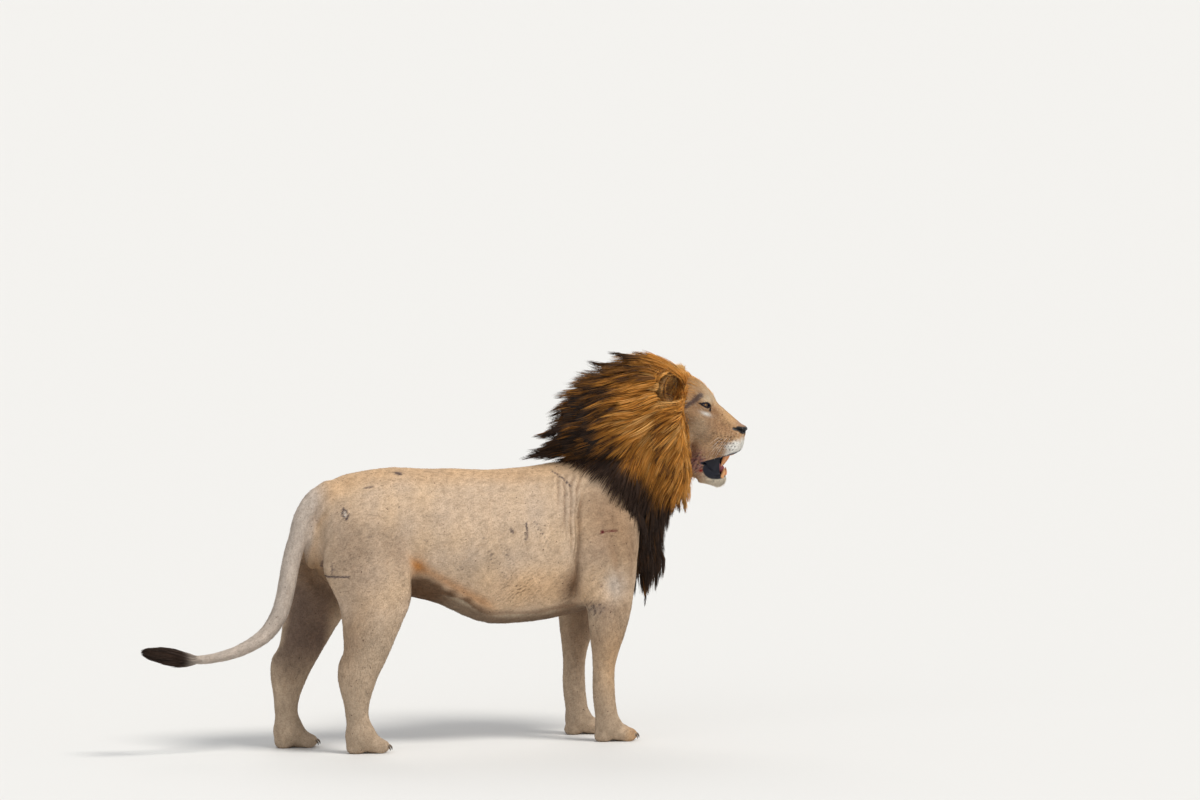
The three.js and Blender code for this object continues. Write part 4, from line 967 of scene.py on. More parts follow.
skin_points, skin_quads = make_skin()
skin = mesh_object("skin", skin_points, skin_quads, SKIN, skin_colour(skin_points.T).T,
                   np.zeros((skin_quads.size, 2)))
skin_uv = unwrap(skin)
skin.data.materials.append(WET)
middle = to_head(skin_points[skin_quads].mean(1).T)
wet = (np.maximum(lip_amount(middle), ramp(np.minimum(nose_pad(middle) - 1.5, nostrils(middle) - 3), 1, 0)
                  * (middle[2] < -75)) > 0.5) | (mouth_inside(middle) < 5)
wet &= middle[0] > -60
skin.data.polygons.foreach_set("material_index", wet.astype(np.int32))
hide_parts(*[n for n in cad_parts
                    if not n.startswith(("mane", "eye", "tongue", "tail_tuft"))])


# ---- Hair ----
MOST_TRIANGLES = 190000  # in one piece of the coat


def halves(quads):
    """The two triangles of each quad, all the first ones before all the second ones."""
    return np.concatenate([quads[:, [0, 1, 2]], quads[:, [0, 2, 3]]])


class Roots:
    """Places on the skin for hair: point, direction out, and place on the unwrap."""

    def __init__(self):
        self.uv = halves(skin_uv)
        self.corner = skin_points[halves(skin_quads)]
        cross = np.cross(self.corner[:, 1] - self.corner[:, 0], self.corner[:, 2] - self.corner[:, 0])
        self.area = np.linalg.norm(cross, axis=1)
        self.out = cross / np.maximum(self.area, 1e-9)[:, None]
        self.middle = self.corner.mean(1)

    def sample(self, count, weight):
        share = self.area * np.maximum(weight(self.middle.T), 0)
        pick = np.searchsorted(np.cumsum(share) / share.sum(), rng.random(count))
        pick = np.minimum(pick, len(share) - 1)
        a, b = rng.random(count), rng.random(count)
        over = a + b > 1
        a[over], b[over] = 1 - a[over], 1 - b[over]
        w = np.stack([1 - a - b, a, b], 1)[:, :, None]
        return (self.corner[pick] * w).sum(1), self.out[pick], (self.uv[pick] * w).sum(1)


def tuft_uv(root_uv, corners):
    """Each tuft's patch, 0.003 across, at its root's place."""
    turn = corners * 2.4
    patch = np.stack([np.cos(turn), np.sin(turn)], -1) * 0.0015
    return (root_uv[:, None] + patch[None]).reshape(-1, 2)


def lock_faces(rings):
    """Triangles of a closed lock: a blunt root, rings of three points, and one point at the tip."""
    tri = [(0, 2, 1)]
    for r in range(rings - 1):
        for k in range(3):
            a, b = r * 3 + k, r * 3 + (k + 1) % 3
            tri += [(a, b, b + 3), (a, b + 3, a + 3)]
    tri += [(rings * 3 - 3 + k, rings * 3 - 3 + (k + 1) % 3, rings * 3) for k in range(3)]
    return np.array(tri)[:, ::-1]


def strands(name, path, out, width, colour, root_uv, look, flat=0.5, shade_as=None):
    """Closed three-sided locks along paths (lock, step, 3), narrowing to a point; colour per step.

    shade_as gives each lock one direction that it catches the light from, as a smooth coat does.
    """
    count, steps = path.shape[:2]
    path[:, :, 2] = np.maximum(path[:, :, 2], PAW_FLAT + 2)
    tangent = np.gradient(path, axis=1)
    tangent /= np.maximum(np.linalg.norm(tangent, axis=2, keepdims=True), 1e-9)
    side = np.cross(tangent, out[:, None] if out.ndim == 2 else out)
    side /= np.maximum(np.linalg.norm(side, axis=2, keepdims=True), 1e-9)
    up = np.cross(side, tangent)
    rings = steps - 1
    points = []
    for angle in (90, 210, 330):
        c, s = math.cos(math.radians(angle)), math.sin(math.radians(angle))
        points.append(path[:, :rings] + width[:, :rings, None] * (side[:, :rings] * c
                                                                  + up[:, :rings] * s * flat))
    body_part = np.stack(points, 2).reshape(count, rings * 3, 3)
    verts = np.concatenate([body_part, path[:, -1:]], 1)
    tone = np.concatenate([np.repeat(colour[:, :rings], 3, 1), colour[:, -1:]], 1)
    each = rings * 3 + 1
    tri = lock_faces(rings)
    made = []
    most = max(1, MOST_TRIANGLES // len(tri))
    for part, start in enumerate(range(0, count, most)):
        stop = min(start + most, count)
        faces = (tri[None] + (np.arange(stop - start) * each)[:, None, None]).reshape(-1, 3)
        uv = tuft_uv(root_uv[start:stop], tri.ravel())
        made.append(mesh_object(f"{name}_{part + 1}", verts[start:stop].reshape(-1, 3), faces, look,
                                tone[start:stop].reshape(-1, 3), uv))
        if shade_as is not None:
            made[-1].data.normals_split_custom_set_from_vertices(
                np.repeat(shade_as[start:stop], each, 0).astype(np.float32))
    return made


def fur_lie(p, out):
    """The way the short coat lies, along the skin."""
    x, z = p[0], p[2]
    lie = np.stack([-np.ones_like(x), 0 * x, -0.3 + 0 * x])
    leg = ramp(z, 700, 480) * (1 - ramp(tail(p), 60, 20))
    lie = lie * (1 - leg) + leg * np.array([[-0.1], [0], [-1]])
    on_tail = ramp(tail(p), 40, 10) * ramp(x, -640, -720)
    down = np.stack([np.interp(z, [400, 500, 700, 1050], [-1, -0.7, -0.2, -0.6]), 0 * x,
                     np.interp(x, [-1300, -1080, -950, -850], [0.05, -0.25, -0.6, -1])])
    lie = lie * (1 - on_tail) + down * on_tail
    q = to_head(p)
    face = ramp(q[0], -170, -90)
    away = q - MUZZLE
    away[2] = away[2] * 1.1 - 20 * (q[2] < -150)
    lie = lie * (1 - face) + (TO_BODY @ unit(away)) * face
    lie = lie - out * (lie * out).sum(0)
    return unit(lie)


def short_fur(name, roots, length, width, lift):
    points, out, uv = roots
    p, n = points.T, out.T
    lie = fur_lie(p, n)
    wander = rng.normal(0, 0.10, p.shape)
    lie = unit(lie + wander - n * (wander * n).sum(0))
    reach = length(p) * rng.uniform(0.7, 1.25, p.shape[1])
    path = np.stack([p - n * 0.4, p + lie * reach + n * lift(p)]).transpose(2, 0, 1)
    widths = (width(p) * rng.uniform(0.7, 1.3, p.shape[1]))[:, None]
    tone = skin_colour(p) * rng.uniform(0.86, 1.07, p.shape[1])
    colour = np.stack([tone * 0.98, np.clip(tone * 1.04, 0, 1)]).transpose(2, 0, 1)
    return strands(name, path, out, widths, colour, uv, FUR, 0.35, out)


# ---- The coat of short hair ----
all_roots = Roots()
FULL = 1.0


def under_mane(p, depth=6):
    return ramp(mane(p), depth - 20, depth + 6)


def bare(q):
    """1 where the head has no hair: nose, lips, mouth and eyelids."""
    b = np.maximum(ramp(nose_pad(q), 4, 1.5) * (q[2] < -75), lip_amount(q))
    b = np.maximum(b, ramp(mouth_wedge(q), 9, 6) * (q[0] > 24))
    for side in SIDES:
        edge, radius = eye_opening(q, side)
        b = np.maximum(b, (edge < 4) & (radius < 34))
    return b


def on_head(q):
    return ramp(q[0], -190, -170) * ramp(from_head(q)[2], SEAM_Z - 10, SEAM_Z + 10)


def body_weight(p):
    q = to_head(p)
    return (1 - on_head(q)) * under_mane(p) * (p[2] > PAW_FLAT + 3) * (1 + 1.2 * ramp(p[2], 260, 120))


def body_length(p):
    longer = 10 * near(p, (0, 0, 500), (330, 120, 60)) + 9 * near(p, (365, 0, 620), (60, 400, 60))
    longer += 6 * ramp(np.abs(p[1]), 100, 60) * ramp(p[2], 800, 600)
    return 14 + longer - 6 * ramp(p[2], 240, 100)


def head_length(p):
    q = to_head(p)
    back = 1 + 2.6 * ramp(q[0], 0, -110) + 1.2 * ramp(q[0], 90, -10)
    chin = near(q, (112, 0, -318), (46, 60, 30)) * 3.0
    short = 1 - 0.45 * near(q, (130, 0, -40), (70, 60, 60))
    return 6.0 * (back + chin) * short


short_fur("coat_body", all_roots.sample(int(88000 * FULL), body_weight), body_length,
          lambda p: 1.15 + 0 * p[0], lambda p: 1.9 - 0.6 * ramp(p[2], 240, 100))
short_fur("coat_face", all_roots.sample(int(42000 * FULL), lambda p: on_head(to_head(p)) * (
    1 - bare(to_head(p))) * ramp(mane(p), -34, -6)), head_length,
          lambda p: 0.62 + 0.02 * head_length(p), lambda p: 0.9 + 0.12 * head_length(p))

# ---- The mane ----
HEAD_GUIDES = np.array([  # place (x, distance from the midline, z), then the way the hair lies there
    (-20, 0, 95, -0.85, 0.0, 0.50), (-95, 0, 130, -0.92, 0.0, 0.35), (-70, 80, 70, -0.80, 0.40, 0.35),
    (-60, 110, 0, -0.75, 0.45, -0.30), (-40, 115, -80, -0.50, 0.30, -0.80),
    (-30, 110, -170, -0.25, 0.15, -0.95), (-10, 80, -280, -0.15, 0.05, -0.98),
    (0, 0, -350, 0.0, 0.0, -1.0), (-190, 120, 60, -0.97, 0.10, 0.05),
    (-170, 110, -60, -0.90, 0.10, -0.40), (-130, 120, -160, -0.60, 0.10, -0.78)])
BODY_GUIDES = np.array([
    (700, 0, 1595, -0.95, 0.0, 0.30), (560, 0, 1560, -0.98, 0.0, 0.05),
    (430, 0, 1420, -0.98, 0.0, -0.12), (250, 0, 1230, -0.97, 0.0, -0.22),
    (600, 190, 1380, -0.96, 0.05, -0.22), (480, 170, 1280, -0.92, 0.0, -0.36),
    (650, 190, 1250, -0.76, 0.05, -0.64), (720, 150, 1090, -0.30, 0.0, -0.95),
    (640, 160, 1080, -0.46, 0.0, -0.88), (560, 170, 1150, -0.66, 0.0, -0.74),
    (850, 40, 1000, 0.04, 0.0, -1.0), (700, 90, 860, 0.02, -0.10, -1.0),
    (725, 30, 650, 0.02, -0.05, -1.0)])


def follow(guides, q, away):
    """The guides' directions at places q, weighed by how near each is; mirrored to both sides."""
    side = np.tanh(away / 50)
    total = np.zeros_like(q)
    for gx, gy, gz, fx, fy, fz in guides:
        d = np.sqrt((q[0] - gx) ** 2 + (np.abs(away) - gy) ** 2 + (q[2] - gz) ** 2)
        total += np.exp(-d / 55) * np.stack([fx + 0 * side, fy * side, fz + 0 * side])
    return total


def mane_lie(p):
    q = to_head(p)
    total = follow(BODY_GUIDES, p, p[1] + 15) + TO_BODY @ follow(HEAD_GUIDES, q, q[1])
    wave = np.stack([noise(p, 260, 21), 0.8 * noise(p, 230, 22), noise(p, 250, 23)])
    curl = np.stack([noise(p, 90, 24), noise(p, 80, 25), noise(p, 85, 26)])
    return unit(unit(total) + 0.14 * wave + 0.08 * curl)


DARK_EDGE = np.array([  # height, and how far forward the dark hair comes there
    (560, 900), (900, 900), (930, 870), (980, 740), (1050, 680), (1110, 590), (1180, 530),
    (1310, 450), (1450, 510), (1500, 560), (1560, 600)])


def darkness(p):
    """From 0 where the mane is tawny to 1 where it is nearly black."""
    edge = np.interp(p[2], DARK_EDGE[:, 0], DARK_EDGE[:, 1])
    rear = ramp(edge - p[0], -120, 110) * (1 - 0.2 * ramp(p[2], 1290, 1400))
    return np.clip(rear + 0.42 * ramp(p[2], 1470, 1590) * ramp(p[0], 800, 620), 0, 1)


def mane_colour(p, shade):
    """Colours along the locks: p is (lock, step, 3), shade one value for each lock."""
    q = p.reshape(-1, 3).T
    dark = darkness(q).reshape(p.shape[:2])
    dark = dark + shade[:, None] * (1 - 0.55 * dark * ramp(q[2], 1280, 1000).reshape(dark.shape))
    fraction = np.linspace(0, 1, p.shape[1])[None]
    # Painted shade: each lock darker towards its root, deep in the mane.
    dark = dark + 0.16 * (1 - fraction) ** 2
    h = to_head(q)
    # Painted shade: the locks darkened in the gap behind each ear.
    behind_ear_shade = near(h, (EAR_X - 58, np.sign(h[1]) * (EAR_SIDE + 30), 22), (20, 70, 44))
    dark = dark + 0.8 * behind_ear_shade.reshape(dark.shape)
    stops = np.array([-0.5, 0.0, 0.32, 0.66, 1.0, 1.5])
    tones = np.stack([MANE_GOLD, ORANGE, TAWNY, BROWN, DARK, DARK * 0.45])
    colour = np.stack([np.interp(dark, stops, tones[:, i]) for i in range(3)], 2)
    chest = ramp(q[2], 1010, 900).reshape(p.shape[:2])[..., None] * ramp(dark, 0.5, 1.0)[..., None]
    withers = near(q, (300, 0, 1190), (190, 150, 70)).reshape(p.shape[:2])[..., None]
    # Painted shade in the last factor: each lock darker towards its root.
    return colour * (1 - 0.3 * chest) * (1 - 0.5 * withers) * (0.82 + 0.24 * fraction[..., None])


def mane_length(p):
    q = to_head(p)
    face = ramp(q[0], -180, 30)
    chest = ramp(p[2], 1050, 900)
    return 225 - 105 * face - 40 * chest


def lay_lock(tip, length, level, depth, steps):
    """Traces locks from their tips back to their roots, sinking into the mane; root first."""
    path = [tip]
    p = tip.copy()
    for k in range(1, steps):
        p = p - mane_lie(p) * (length / (steps - 1))
        d, g = gradient(mane, p, 2.0)
        excess = np.maximum(d - (level - depth * k / (steps - 1)), 0)
        p = p - unit(g) * excess * 0.8
        path.append(p)
    return np.stack(path[::-1]).transpose(2, 0, 1)


skin_point_uv = np.zeros((len(skin_points), 2), np.float32)
skin_point_uv[skin_quads.ravel()] = skin_uv.reshape(-1, 2)

MANE_STEPS = 6
MANE_BOX = (60, -320, 500), (1080, 260, 1640)
MANE_STEP, UNDER_STEP = 14, 12
UNDER_DEPTH = 36  # of the base under the mane's surface, darkened as painted shade
LOCK_SINK = 34  # how much deeper a lock's root lies than its tip
SHORTER = (0.5, 0.28)  # shares of its length that a lock is tried at where it would cross an ear
outer, outer_quads = surface(mane, *MANE_BOX, MANE_STEP)
outside = skin_field(outer) > -4
outer_tri = halves(outer_quads)
outer_tri = outer_tri[outside[outer_tri].any(1)]
corner = outer.T[outer_tri]
outer_area = np.linalg.norm(np.cross(corner[:, 1] - corner[:, 0], corner[:, 2] - corner[:, 0]), axis=1)


def on_mane(count):
    """Places spread evenly over the mane's surface."""
    pick = np.searchsorted(np.cumsum(outer_area) / outer_area.sum(), rng.random(count))
    w = rng.dirichlet((1, 1, 1), count)[:, :, None]
    return (corner[np.minimum(pick, len(corner) - 1)] * w).sum(1).T


def nearest_of(points, targets):
    tree = KDTree(len(targets))
    for number, point in enumerate(targets):
        tree.insert(point, number)
    tree.balance()
    return np.array([tree.find(point)[1] for point in points])


def skin_uv_near(points):
    """The place on the unwrap of the skin nearest to each point, of every fifth one."""
    return skin_point_uv[nearest_of(points, skin_points[::5]) * 5]


def clear_of_ears(path):
    """Which locks stay out of the space in front of the ears."""
    q = to_head(path.reshape(-1, 3).T)
    room = np.minimum(*[smin(ear_shell(s)(q) - 3, blob(
        (EAR_X + 34, s * (EAR_SIDE + 46), EAR_Z + 18), (32, 48, 48), 10)(q), 10) for s in SIDES])
    return (room.reshape(path.shape[:2]) > 0).all(1)


def gentle(path):
    """Which locks nowhere turn sharply from one step to the next."""
    step = np.diff(path, axis=1)
    step /= np.maximum(np.linalg.norm(step, axis=2, keepdims=True), 1e-9)
    return ((step[:, 1:] * step[:, :-1]).sum(2) > 0.72).all(1)


def make_mane(count, clumps):
    tip = on_mane(count)
    guide = rng.permutation(count)[:clumps]
    owner = nearest_of(tip.T, tip.T[guide])
    clump_level = rng.uniform(-22, 3, clumps)
    level = clump_level[owner] + rng.uniform(-10, 3, count)
    _, g = gradient(mane, tip, 2.0)
    way = mane_lie(tip)
    reach = rng.uniform(-14, 20, clumps)[owner] + rng.uniform(-14, 14, count)
    level_tip = tip + unit(g) * level
    leaving = np.maximum((way * unit(g)).sum(0), 0)
    top = ramp(tip[2], 1490, 1570)
    start = level_tip + way * (reach + 22 * top) * (0.35 + 0.65 * leaving)
    rear = ramp(tip[0], 640, 520) * ramp(tip[2], 1230, 1300)
    start += way * rear * (10 + 34 * rng.uniform(0, 1, count))
    length = mane_length(tip) * rng.uniform(0.75, 1.2, count)
    path = lay_lock(start, length, level, LOCK_SINK, MANE_STEPS)
    s = np.linspace(0, 1, MANE_STEPS)
    pull = (0.10 + 0.45 * s**2)[None, :, None]
    centre = path[guide][owner]
    keep = (path[:, -1:] - centre[:, -1:]) * (1 - 0.75 * s)[None, :, None] * 0.9
    path = path * (1 - pull) + (centre + keep) * pull
    for share in SHORTER:
        bad = ~(clear_of_ears(path) & gentle(path))
        path[bad] = lay_lock(start[:, bad], share * length[bad], level[bad], LOCK_SINK * share, MANE_STEPS)
    clear = clear_of_ears(path)
    out = np.repeat(unit(g).T[:, None], MANE_STEPS, 1)
    width = rng.uniform(1.3, 2.3, count)[:, None] * np.interp(s, [0, 0.3, 0.75, 1], [0.8, 1, 0.7, 0.15])
    shade = (0.24 * rng.normal(size=clumps))[owner] + 0.16 * rng.normal(size=count)
    shade = shade + 0.2 * noise(tip, 75, 31)
    colour = mane_colour(path, shade)
    # Painted shade: locks that lie deeper under the mane's surface are darker.
    deep = np.clip(1 + (level / 70), 0.55, 1.0)
    colour = np.clip(colour * deep[:, None, None] * rng.uniform(0.9, 1.12, count)[:, None, None], 0.002, 1)
    return strands("mane", path[clear], out[clear], width[clear], colour[clear],
                   skin_uv_near(path[clear][:, 0]), HAIR, 0.5)


mane_pieces = make_mane(int(25200 * FULL), 2300)


def under_field(p):
    return mane(p) + UNDER_DEPTH


under, under_quads = surface(under_field, *MANE_BOX, UNDER_STEP)
# Painted shade: the base under the locks takes the mane's colours darkened to 0.45, as the inside of the
# mane lies in shade.
under_shade_tone = mane_colour(under.T[:, None], 0.25 + 0.2 * noise(under, 60, 33))[:, 0] * 0.45
under_uv = skin_uv_near(under.T)
mane_shaded_base = mesh_object("mane_shaded_base", under.T, under_quads, HAIR, under_shade_tone,
                        under_uv[under_quads].reshape(-1, 2))


def make_fringe(name, count, weight, length, rise, steer=None, radius=1.9, shade=0.0, over_ears=False):
    """Locks that root in the skin and carry the mane's edge over the short coat."""
    count = int(count * FULL)
    points, out, uv = all_roots.sample(count, weight)
    p, n = points.T, out.T
    way = mane_lie(p) if steer is None else steer(p)
    way = unit(way - n * ((way * n).sum(0) - 0.16))
    length = value_at(length, p) * rng.uniform(0.6, 1.3, count)
    rise = value_at(rise, p) * rng.uniform(0.3, 1.2, count)
    s = np.linspace(0, 1, 5)[:, None]
    path = p[:, None] + way[:, None] * (length * s) + n[:, None] * (rise * np.sin(s * 2.6) - 1.5)
    path[2] -= length * 0.14 * s**2
    path = path.transpose(2, 1, 0)
    width = radius * rng.uniform(0.7, 1.25, (count, 1)) * np.interp(
        s[:, 0], [0, 0.3, 0.8, 1], [0.9, 1, 0.6, 0.15])
    width = width * (1 - 0.45 * on_head(to_head(p)))[:, None]
    shade = shade + 0.14 * rng.normal(size=count) + 0.2 * noise(p, 60, 35)
    clear = clear_of_ears(path) | over_ears
    colour = np.clip(mane_colour(path, shade), 0.002, 1)
    return strands(name, path[clear], np.repeat(out[clear][:, None], 5, 1), width[clear],
                   colour[clear], uv[clear], HAIR, 0.5)


def value_at(amount, p):
    """A number as it is, or a function of place at p."""
    return amount(p) if callable(amount) else np.full(p.shape[1], float(amount))


def head_way(q, ahead, across, up):
    """A direction in the body's frame, from its parts in the head's."""
    return TO_BODY @ unit(np.stack([part + 0 * q[0] for part in (ahead, across, up)]))


def edge_weight(p):
    inside = 16 * (1 - on_head(to_head(p)))
    return (1 - bare(to_head(p))) * ramp(mane(p) + inside, -66, -44) * ramp(mane(p) + inside, 4, -6)


def shoulder_weight(p):
    """The front of the shoulder, outside the mane's mass, which its dark hair still covers."""
    return ramp(past_shoulder(p), 30, 60) * (p[2] > 600) * ramp(p[2], 1230, 1200) * (mane(p) > -60) * (
        p[0] < 800) * (1 - on_head(to_head(p)))


def edge_length(p):
    return 64 - 12 * on_head(to_head(p))


def forelock_weight(p):
    """The top of the forehead, further forward on its left."""
    q = to_head(p)
    front = -8 + 76 * ramp(q[1], 2, 20)
    high = on_head(q) * ramp(q[2] + 22 * ramp(q[1], 2, 20), 38, 60)
    return (high * ramp(q[0], front + 16, front - 24) * ramp(mane(p), -30, -4)
            * (0.35 + 0.65 * ramp(q[1], 0, 16)))


def forelock_way(p):
    q = to_head(p)
    return head_way(q, -0.9, 0.30 * np.tanh(q[1] / 30), 0.2)


def ear_front_weight(p):
    q = to_head(p)
    side = np.abs(q[1])
    return (ramp(q[0], -98, -88) * ramp(q[0], -46, -56) * ramp(side, 48, 58) * ramp(q[2], -40, -10)
            * (q[2] < 118))


def ear_front_way(p):
    q = to_head(p)
    return head_way(q, -0.16, 0.62 * np.sign(q[1]), -0.62 - 0.2 * ramp(q[2], 90, 20))


def ear_rim_weight(p):
    """The edge of each ear, where its back meets its hollow."""
    q = to_head(p)
    rim = np.minimum(*[np.maximum(np.abs(ear_cup(s)(q)), np.abs(ear_shell(s)(q)) - 3) for s in SIDES])
    return ramp(rim, 9, 5) * ramp(np.abs(q[1]), EAR_SIDE + 8, EAR_SIDE + 22) * ramp(q[2], -10, 20)


def ear_rim_way(p):
    q = to_head(p)
    return head_way(q, -0.5, 0.5 * np.sign(q[1]), 0.012 * (q[2] - EAR_Z - 10))


def ear_inside_weight(p):
    q = to_head(p)
    inside = np.minimum(*[np.abs(ear_cup(s)(q)) for s in SIDES])
    return ramp(inside, 7, 3) * ramp(q[0], -120, -96) * (nearer_ear(ear_shell, q) < 4)


def ear_inside_way(p):
    q = to_head(p)
    return head_way(q, -0.55, 0.8 * np.sign(q[1]), 0.35 - 0.01 * (q[2] - EAR_Z))


fringe = [*make_fringe("ear_front", 900, ear_front_weight, 62, 10, ear_front_way, 1.7, -0.1, True),
          *make_fringe("ear_rim", 1100, ear_rim_weight, 17, 3, ear_rim_way, 1.2, -0.4, True),
          *make_fringe("ear_inside", 420, ear_inside_weight, 44, 8, ear_inside_way, 1.2, -0.8, True),
          *make_fringe("shoulder_mane", 3400, shoulder_weight, 84, 20, None, 2.0, 0.35),
          *make_fringe("mane_fringe", 5200, edge_weight, edge_length,
                       lambda p: 16 - 6 * on_head(to_head(p))),
          *make_fringe("forelock", 1800, forelock_weight,
                       lambda p: 22 + 0.3 * np.clip(-to_head(p)[0] + 40, 0, 120), 4,
                       forelock_way, 1.5, -0.15)]
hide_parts(*[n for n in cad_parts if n.startswith("mane")])

# ---- The tail's tuft ----
TUFT = np.array([(-1215, 408, 17), (-1252, 406, 21), (-1290, 409, 30), (-1340, 418, 40),
                 (-1400, 430, 40), (-1450, 440, 27), (-1486, 446, 8)], float)


def make_tuft(count):
    start = rng.uniform(0, 0.55, count)
    around = rng.uniform(0, 2 * math.pi, count)
    deep = np.sqrt(rng.uniform(0.15, 1, count))
    steps = 7
    travel = start[:, None] + np.linspace(0, 1, steps)[None] * (
        np.minimum(rng.uniform(0.35, 0.6, count), 1.02 - start))[:, None]
    slots = np.linspace(0, 1, len(TUFT))
    x, z, r = (np.interp(travel, slots, TUFT[:, i]) for i in range(3))
    r = r * deep[:, None] * np.linspace(0.75, 1.0, steps)[None]
    sway = 3 * np.sin(travel * 9 + around[:, None] * 3)
    cy, cz = np.cos(around)[:, None], np.sin(around)[:, None]
    path = np.stack([x, TAIL_SWAY + r * cy + sway, z + r * cz + sway], 2)
    out = np.repeat(np.stack([0 * around, np.cos(around), np.sin(around)], 1)[:, None], steps, 1)
    width = rng.uniform(1.6, 2.8, count)[:, None] * np.linspace(1, 0.2, steps)[None]
    tone = DARK[None, None] * rng.uniform(0.3, 0.9, count)[:, None, None] * np.ones((1, steps, 1))
    pale = ramp(travel, 0.40, 0.24)[..., None]
    tone = tone * (1 - 0.6 * pale) + TAIL_GREY * 0.6 * pale
    return strands("tail_tuft_hair", path, out, width, tone, skin_uv_near(path[:, 0]), HAIR, 0.6)


tuft_pieces = make_tuft(int(1500 * FULL))
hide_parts("tail_tuft")

# ---- Eyes ----
GLOBE, PUPIL, IRIS = 18.6, 0.17, 0.56


def make_eye(side):
    centre, look, out, up = eye_frame(side)
    rings, around = 40, 48
    theta = np.concatenate([np.linspace(0, 0.8, 28), np.linspace(0.86, math.pi, rings - 28)])
    phi = np.arange(around) * 2 * math.pi / around
    t, f = np.meshgrid(theta, phi, indexing="ij")
    bulge = 1 + 0.055 * ramp(-t, -0.62, -0.2)
    local = (look[:, None, None] * np.cos(t) * bulge + (out[:, None, None] * np.cos(f)
             + up[:, None, None] * np.sin(f)) * np.sin(t) * bulge)
    points = from_head(centre[:, None] + GLOBE * local.reshape(3, -1)).T
    t, f = t.ravel(), f.ravel()
    amber, gold, deep = rgb(148, 92, 30), rgb(186, 132, 54), rgb(58, 34, 16)
    tone = np.repeat(amber[:, None], len(t), 1)
    tone = paint(tone, gold, ramp(t, PUPIL + 0.02, PUPIL + 0.12) * ramp(-t, -0.42, -0.3) * 0.8)
    tone = tone * (1 + 0.16 * np.sin(f * 23) * np.sin(t * 30))
    tone = paint(tone, deep, ramp(t, IRIS - 0.12, IRIS - 0.01))
    tone = paint(tone, EYE_RING, ramp(t, IRIS, IRIS + 0.04))
    tone = paint(tone, PUPIL_BLACK, ramp(-t, -PUPIL - 0.02, -PUPIL))
    i, j = np.meshgrid(np.arange(rings - 1), np.arange(around), indexing="ij")
    a, b = i * around + j, i * around + (j + 1) % around
    quads = np.stack([a, a + around, b + around, b], -1).reshape(-1, 4)
    if side == LEFT:
        quads = quads[:, ::-1]
    name = SIDE_NAME[side]
    eye = mesh_object(f"eyeball_{name}", points, quads, EYE, np.clip(tone.T, 0.002, 1))
    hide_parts(f"eye_{name}")


EYE = material("Eye", 0.12, coat=1.0)
for side in SIDES:
    make_eye(side)

# ---- Teeth and tongue ----
TEETH = material("Teeth", 0.3)
FLESH = material("Tongue", 0.35, coat=0.4)


def horn(name, spine, radii, tone_root, tone_tip, look, squash=1.0, sides=14, placing=from_head):
    """A closed solid round a curved spine of points, in the head's frame, narrowing by radii."""
    spine, radii = np.array(spine, float), np.array(radii, float)
    steps = 12
    t = np.linspace(0, 1, steps)
    grid = np.linspace(0, 1, len(spine))
    line = np.stack([np.interp(t, grid, spine[:, i]) for i in range(3)], 1)
    for _ in range(2):
        line[1:-1] = (line[:-2] + 2 * line[1:-1] + line[2:]) / 4
    r = np.interp(t, grid, radii)
    ahead = np.gradient(line, axis=0)
    ahead /= np.linalg.norm(ahead, axis=1, keepdims=True)
    side = np.cross(ahead, [0.0, 1.0, 0.0])
    side /= np.linalg.norm(side, axis=1, keepdims=True)
    up = np.cross(side, ahead)
    turn = np.arange(sides) * 2 * math.pi / sides
    ring = (line[:, None] + r[:, None, None] * (side[:, None] * np.cos(turn)[None, :, None]
            + up[:, None] * np.sin(turn)[None, :, None] * squash))
    points = np.concatenate([ring.reshape(-1, 3), line[:1], line[-1:]])
    faces = []
    for i in range(steps - 1):
        for j in range(sides):
            a, b = i * sides + j, i * sides + (j + 1) % sides
            faces += [(a, b, b + sides), (a, b + sides, a + sides)]
    last = (steps - 1) * sides
    for j in range(sides):
        faces += [(j, steps * sides, (j + 1) % sides), (last + j, last + (j + 1) % sides, steps * sides + 1)]
    tone = tone_root + (tone_tip - tone_root) * np.linspace(0, 1, steps)[:, None] ** 0.7
    tone = np.concatenate([np.repeat(tone, sides, 0), tone[:1], tone[-1:]])
    thing = mesh_object(name, placing(points.T).T, np.array(faces)[:, ::-1], look, tone)
    return thing


STAIN, IVORY = rgb(212, 112, 62), rgb(226, 166, 112)
for side, word in SIDE_NAME.items():
    horn(f"canine_upper_{word}", [(133, side * 28, -170), (131, side * 29, -198), (123, side * 29, -224),
                                  (114, side * 28, -248)], [11, 10.5, 7.5, 1.5], STAIN, IVORY, TEETH, 0.8)
    horn(f"canine_lower_{word}", [(120, side * 20, -294), (126, side * 21, -278), (128, side * 21, -266),
                                  (126, side * 20, -254)], [9, 8, 5, 1], IVORY, IVORY, TEETH, 0.8)
    for i in range(3):
        y = side * (4 + 8 * i)
        horn(f"incisor_upper_{word}_{i}", [(158 - i * 3, y, -180), (158 - i * 3, y, -190),
                                           (156 - i * 3, y, -197 - i)], [4, 3.6, 1.6], STAIN, IVORY, TEETH)
        y = side * (3 + 6 * i)
        horn(f"incisor_lower_{word}_{i}", [(133 - i * 2, y, -282), (134 - i * 2, y, -272),
                                           (134 - i * 2, y, -264)], [3.4, 3.0, 1.4], STAIN, IVORY, TEETH)
    for i in range(3):
        x = 86 - 22 * i
        upper = [(x, side * 40, -176), (x, side * 40, -196), (x - 1, side * 39, -206 + 3 * i)]
        horn(f"molar_{word}_{i}", upper, [10, 8, 1.5], STAIN, IVORY, TEETH, 0.5)
        lower = [(x - 2, side * 32, -276), (x - 2, side * 32, -262), (x - 2, side * 32, -250 - 2 * i)]
        horn(f"molar_lower_{word}_{i}", lower, [9, 7, 1.5], STAIN, IVORY, TEETH, 0.5)
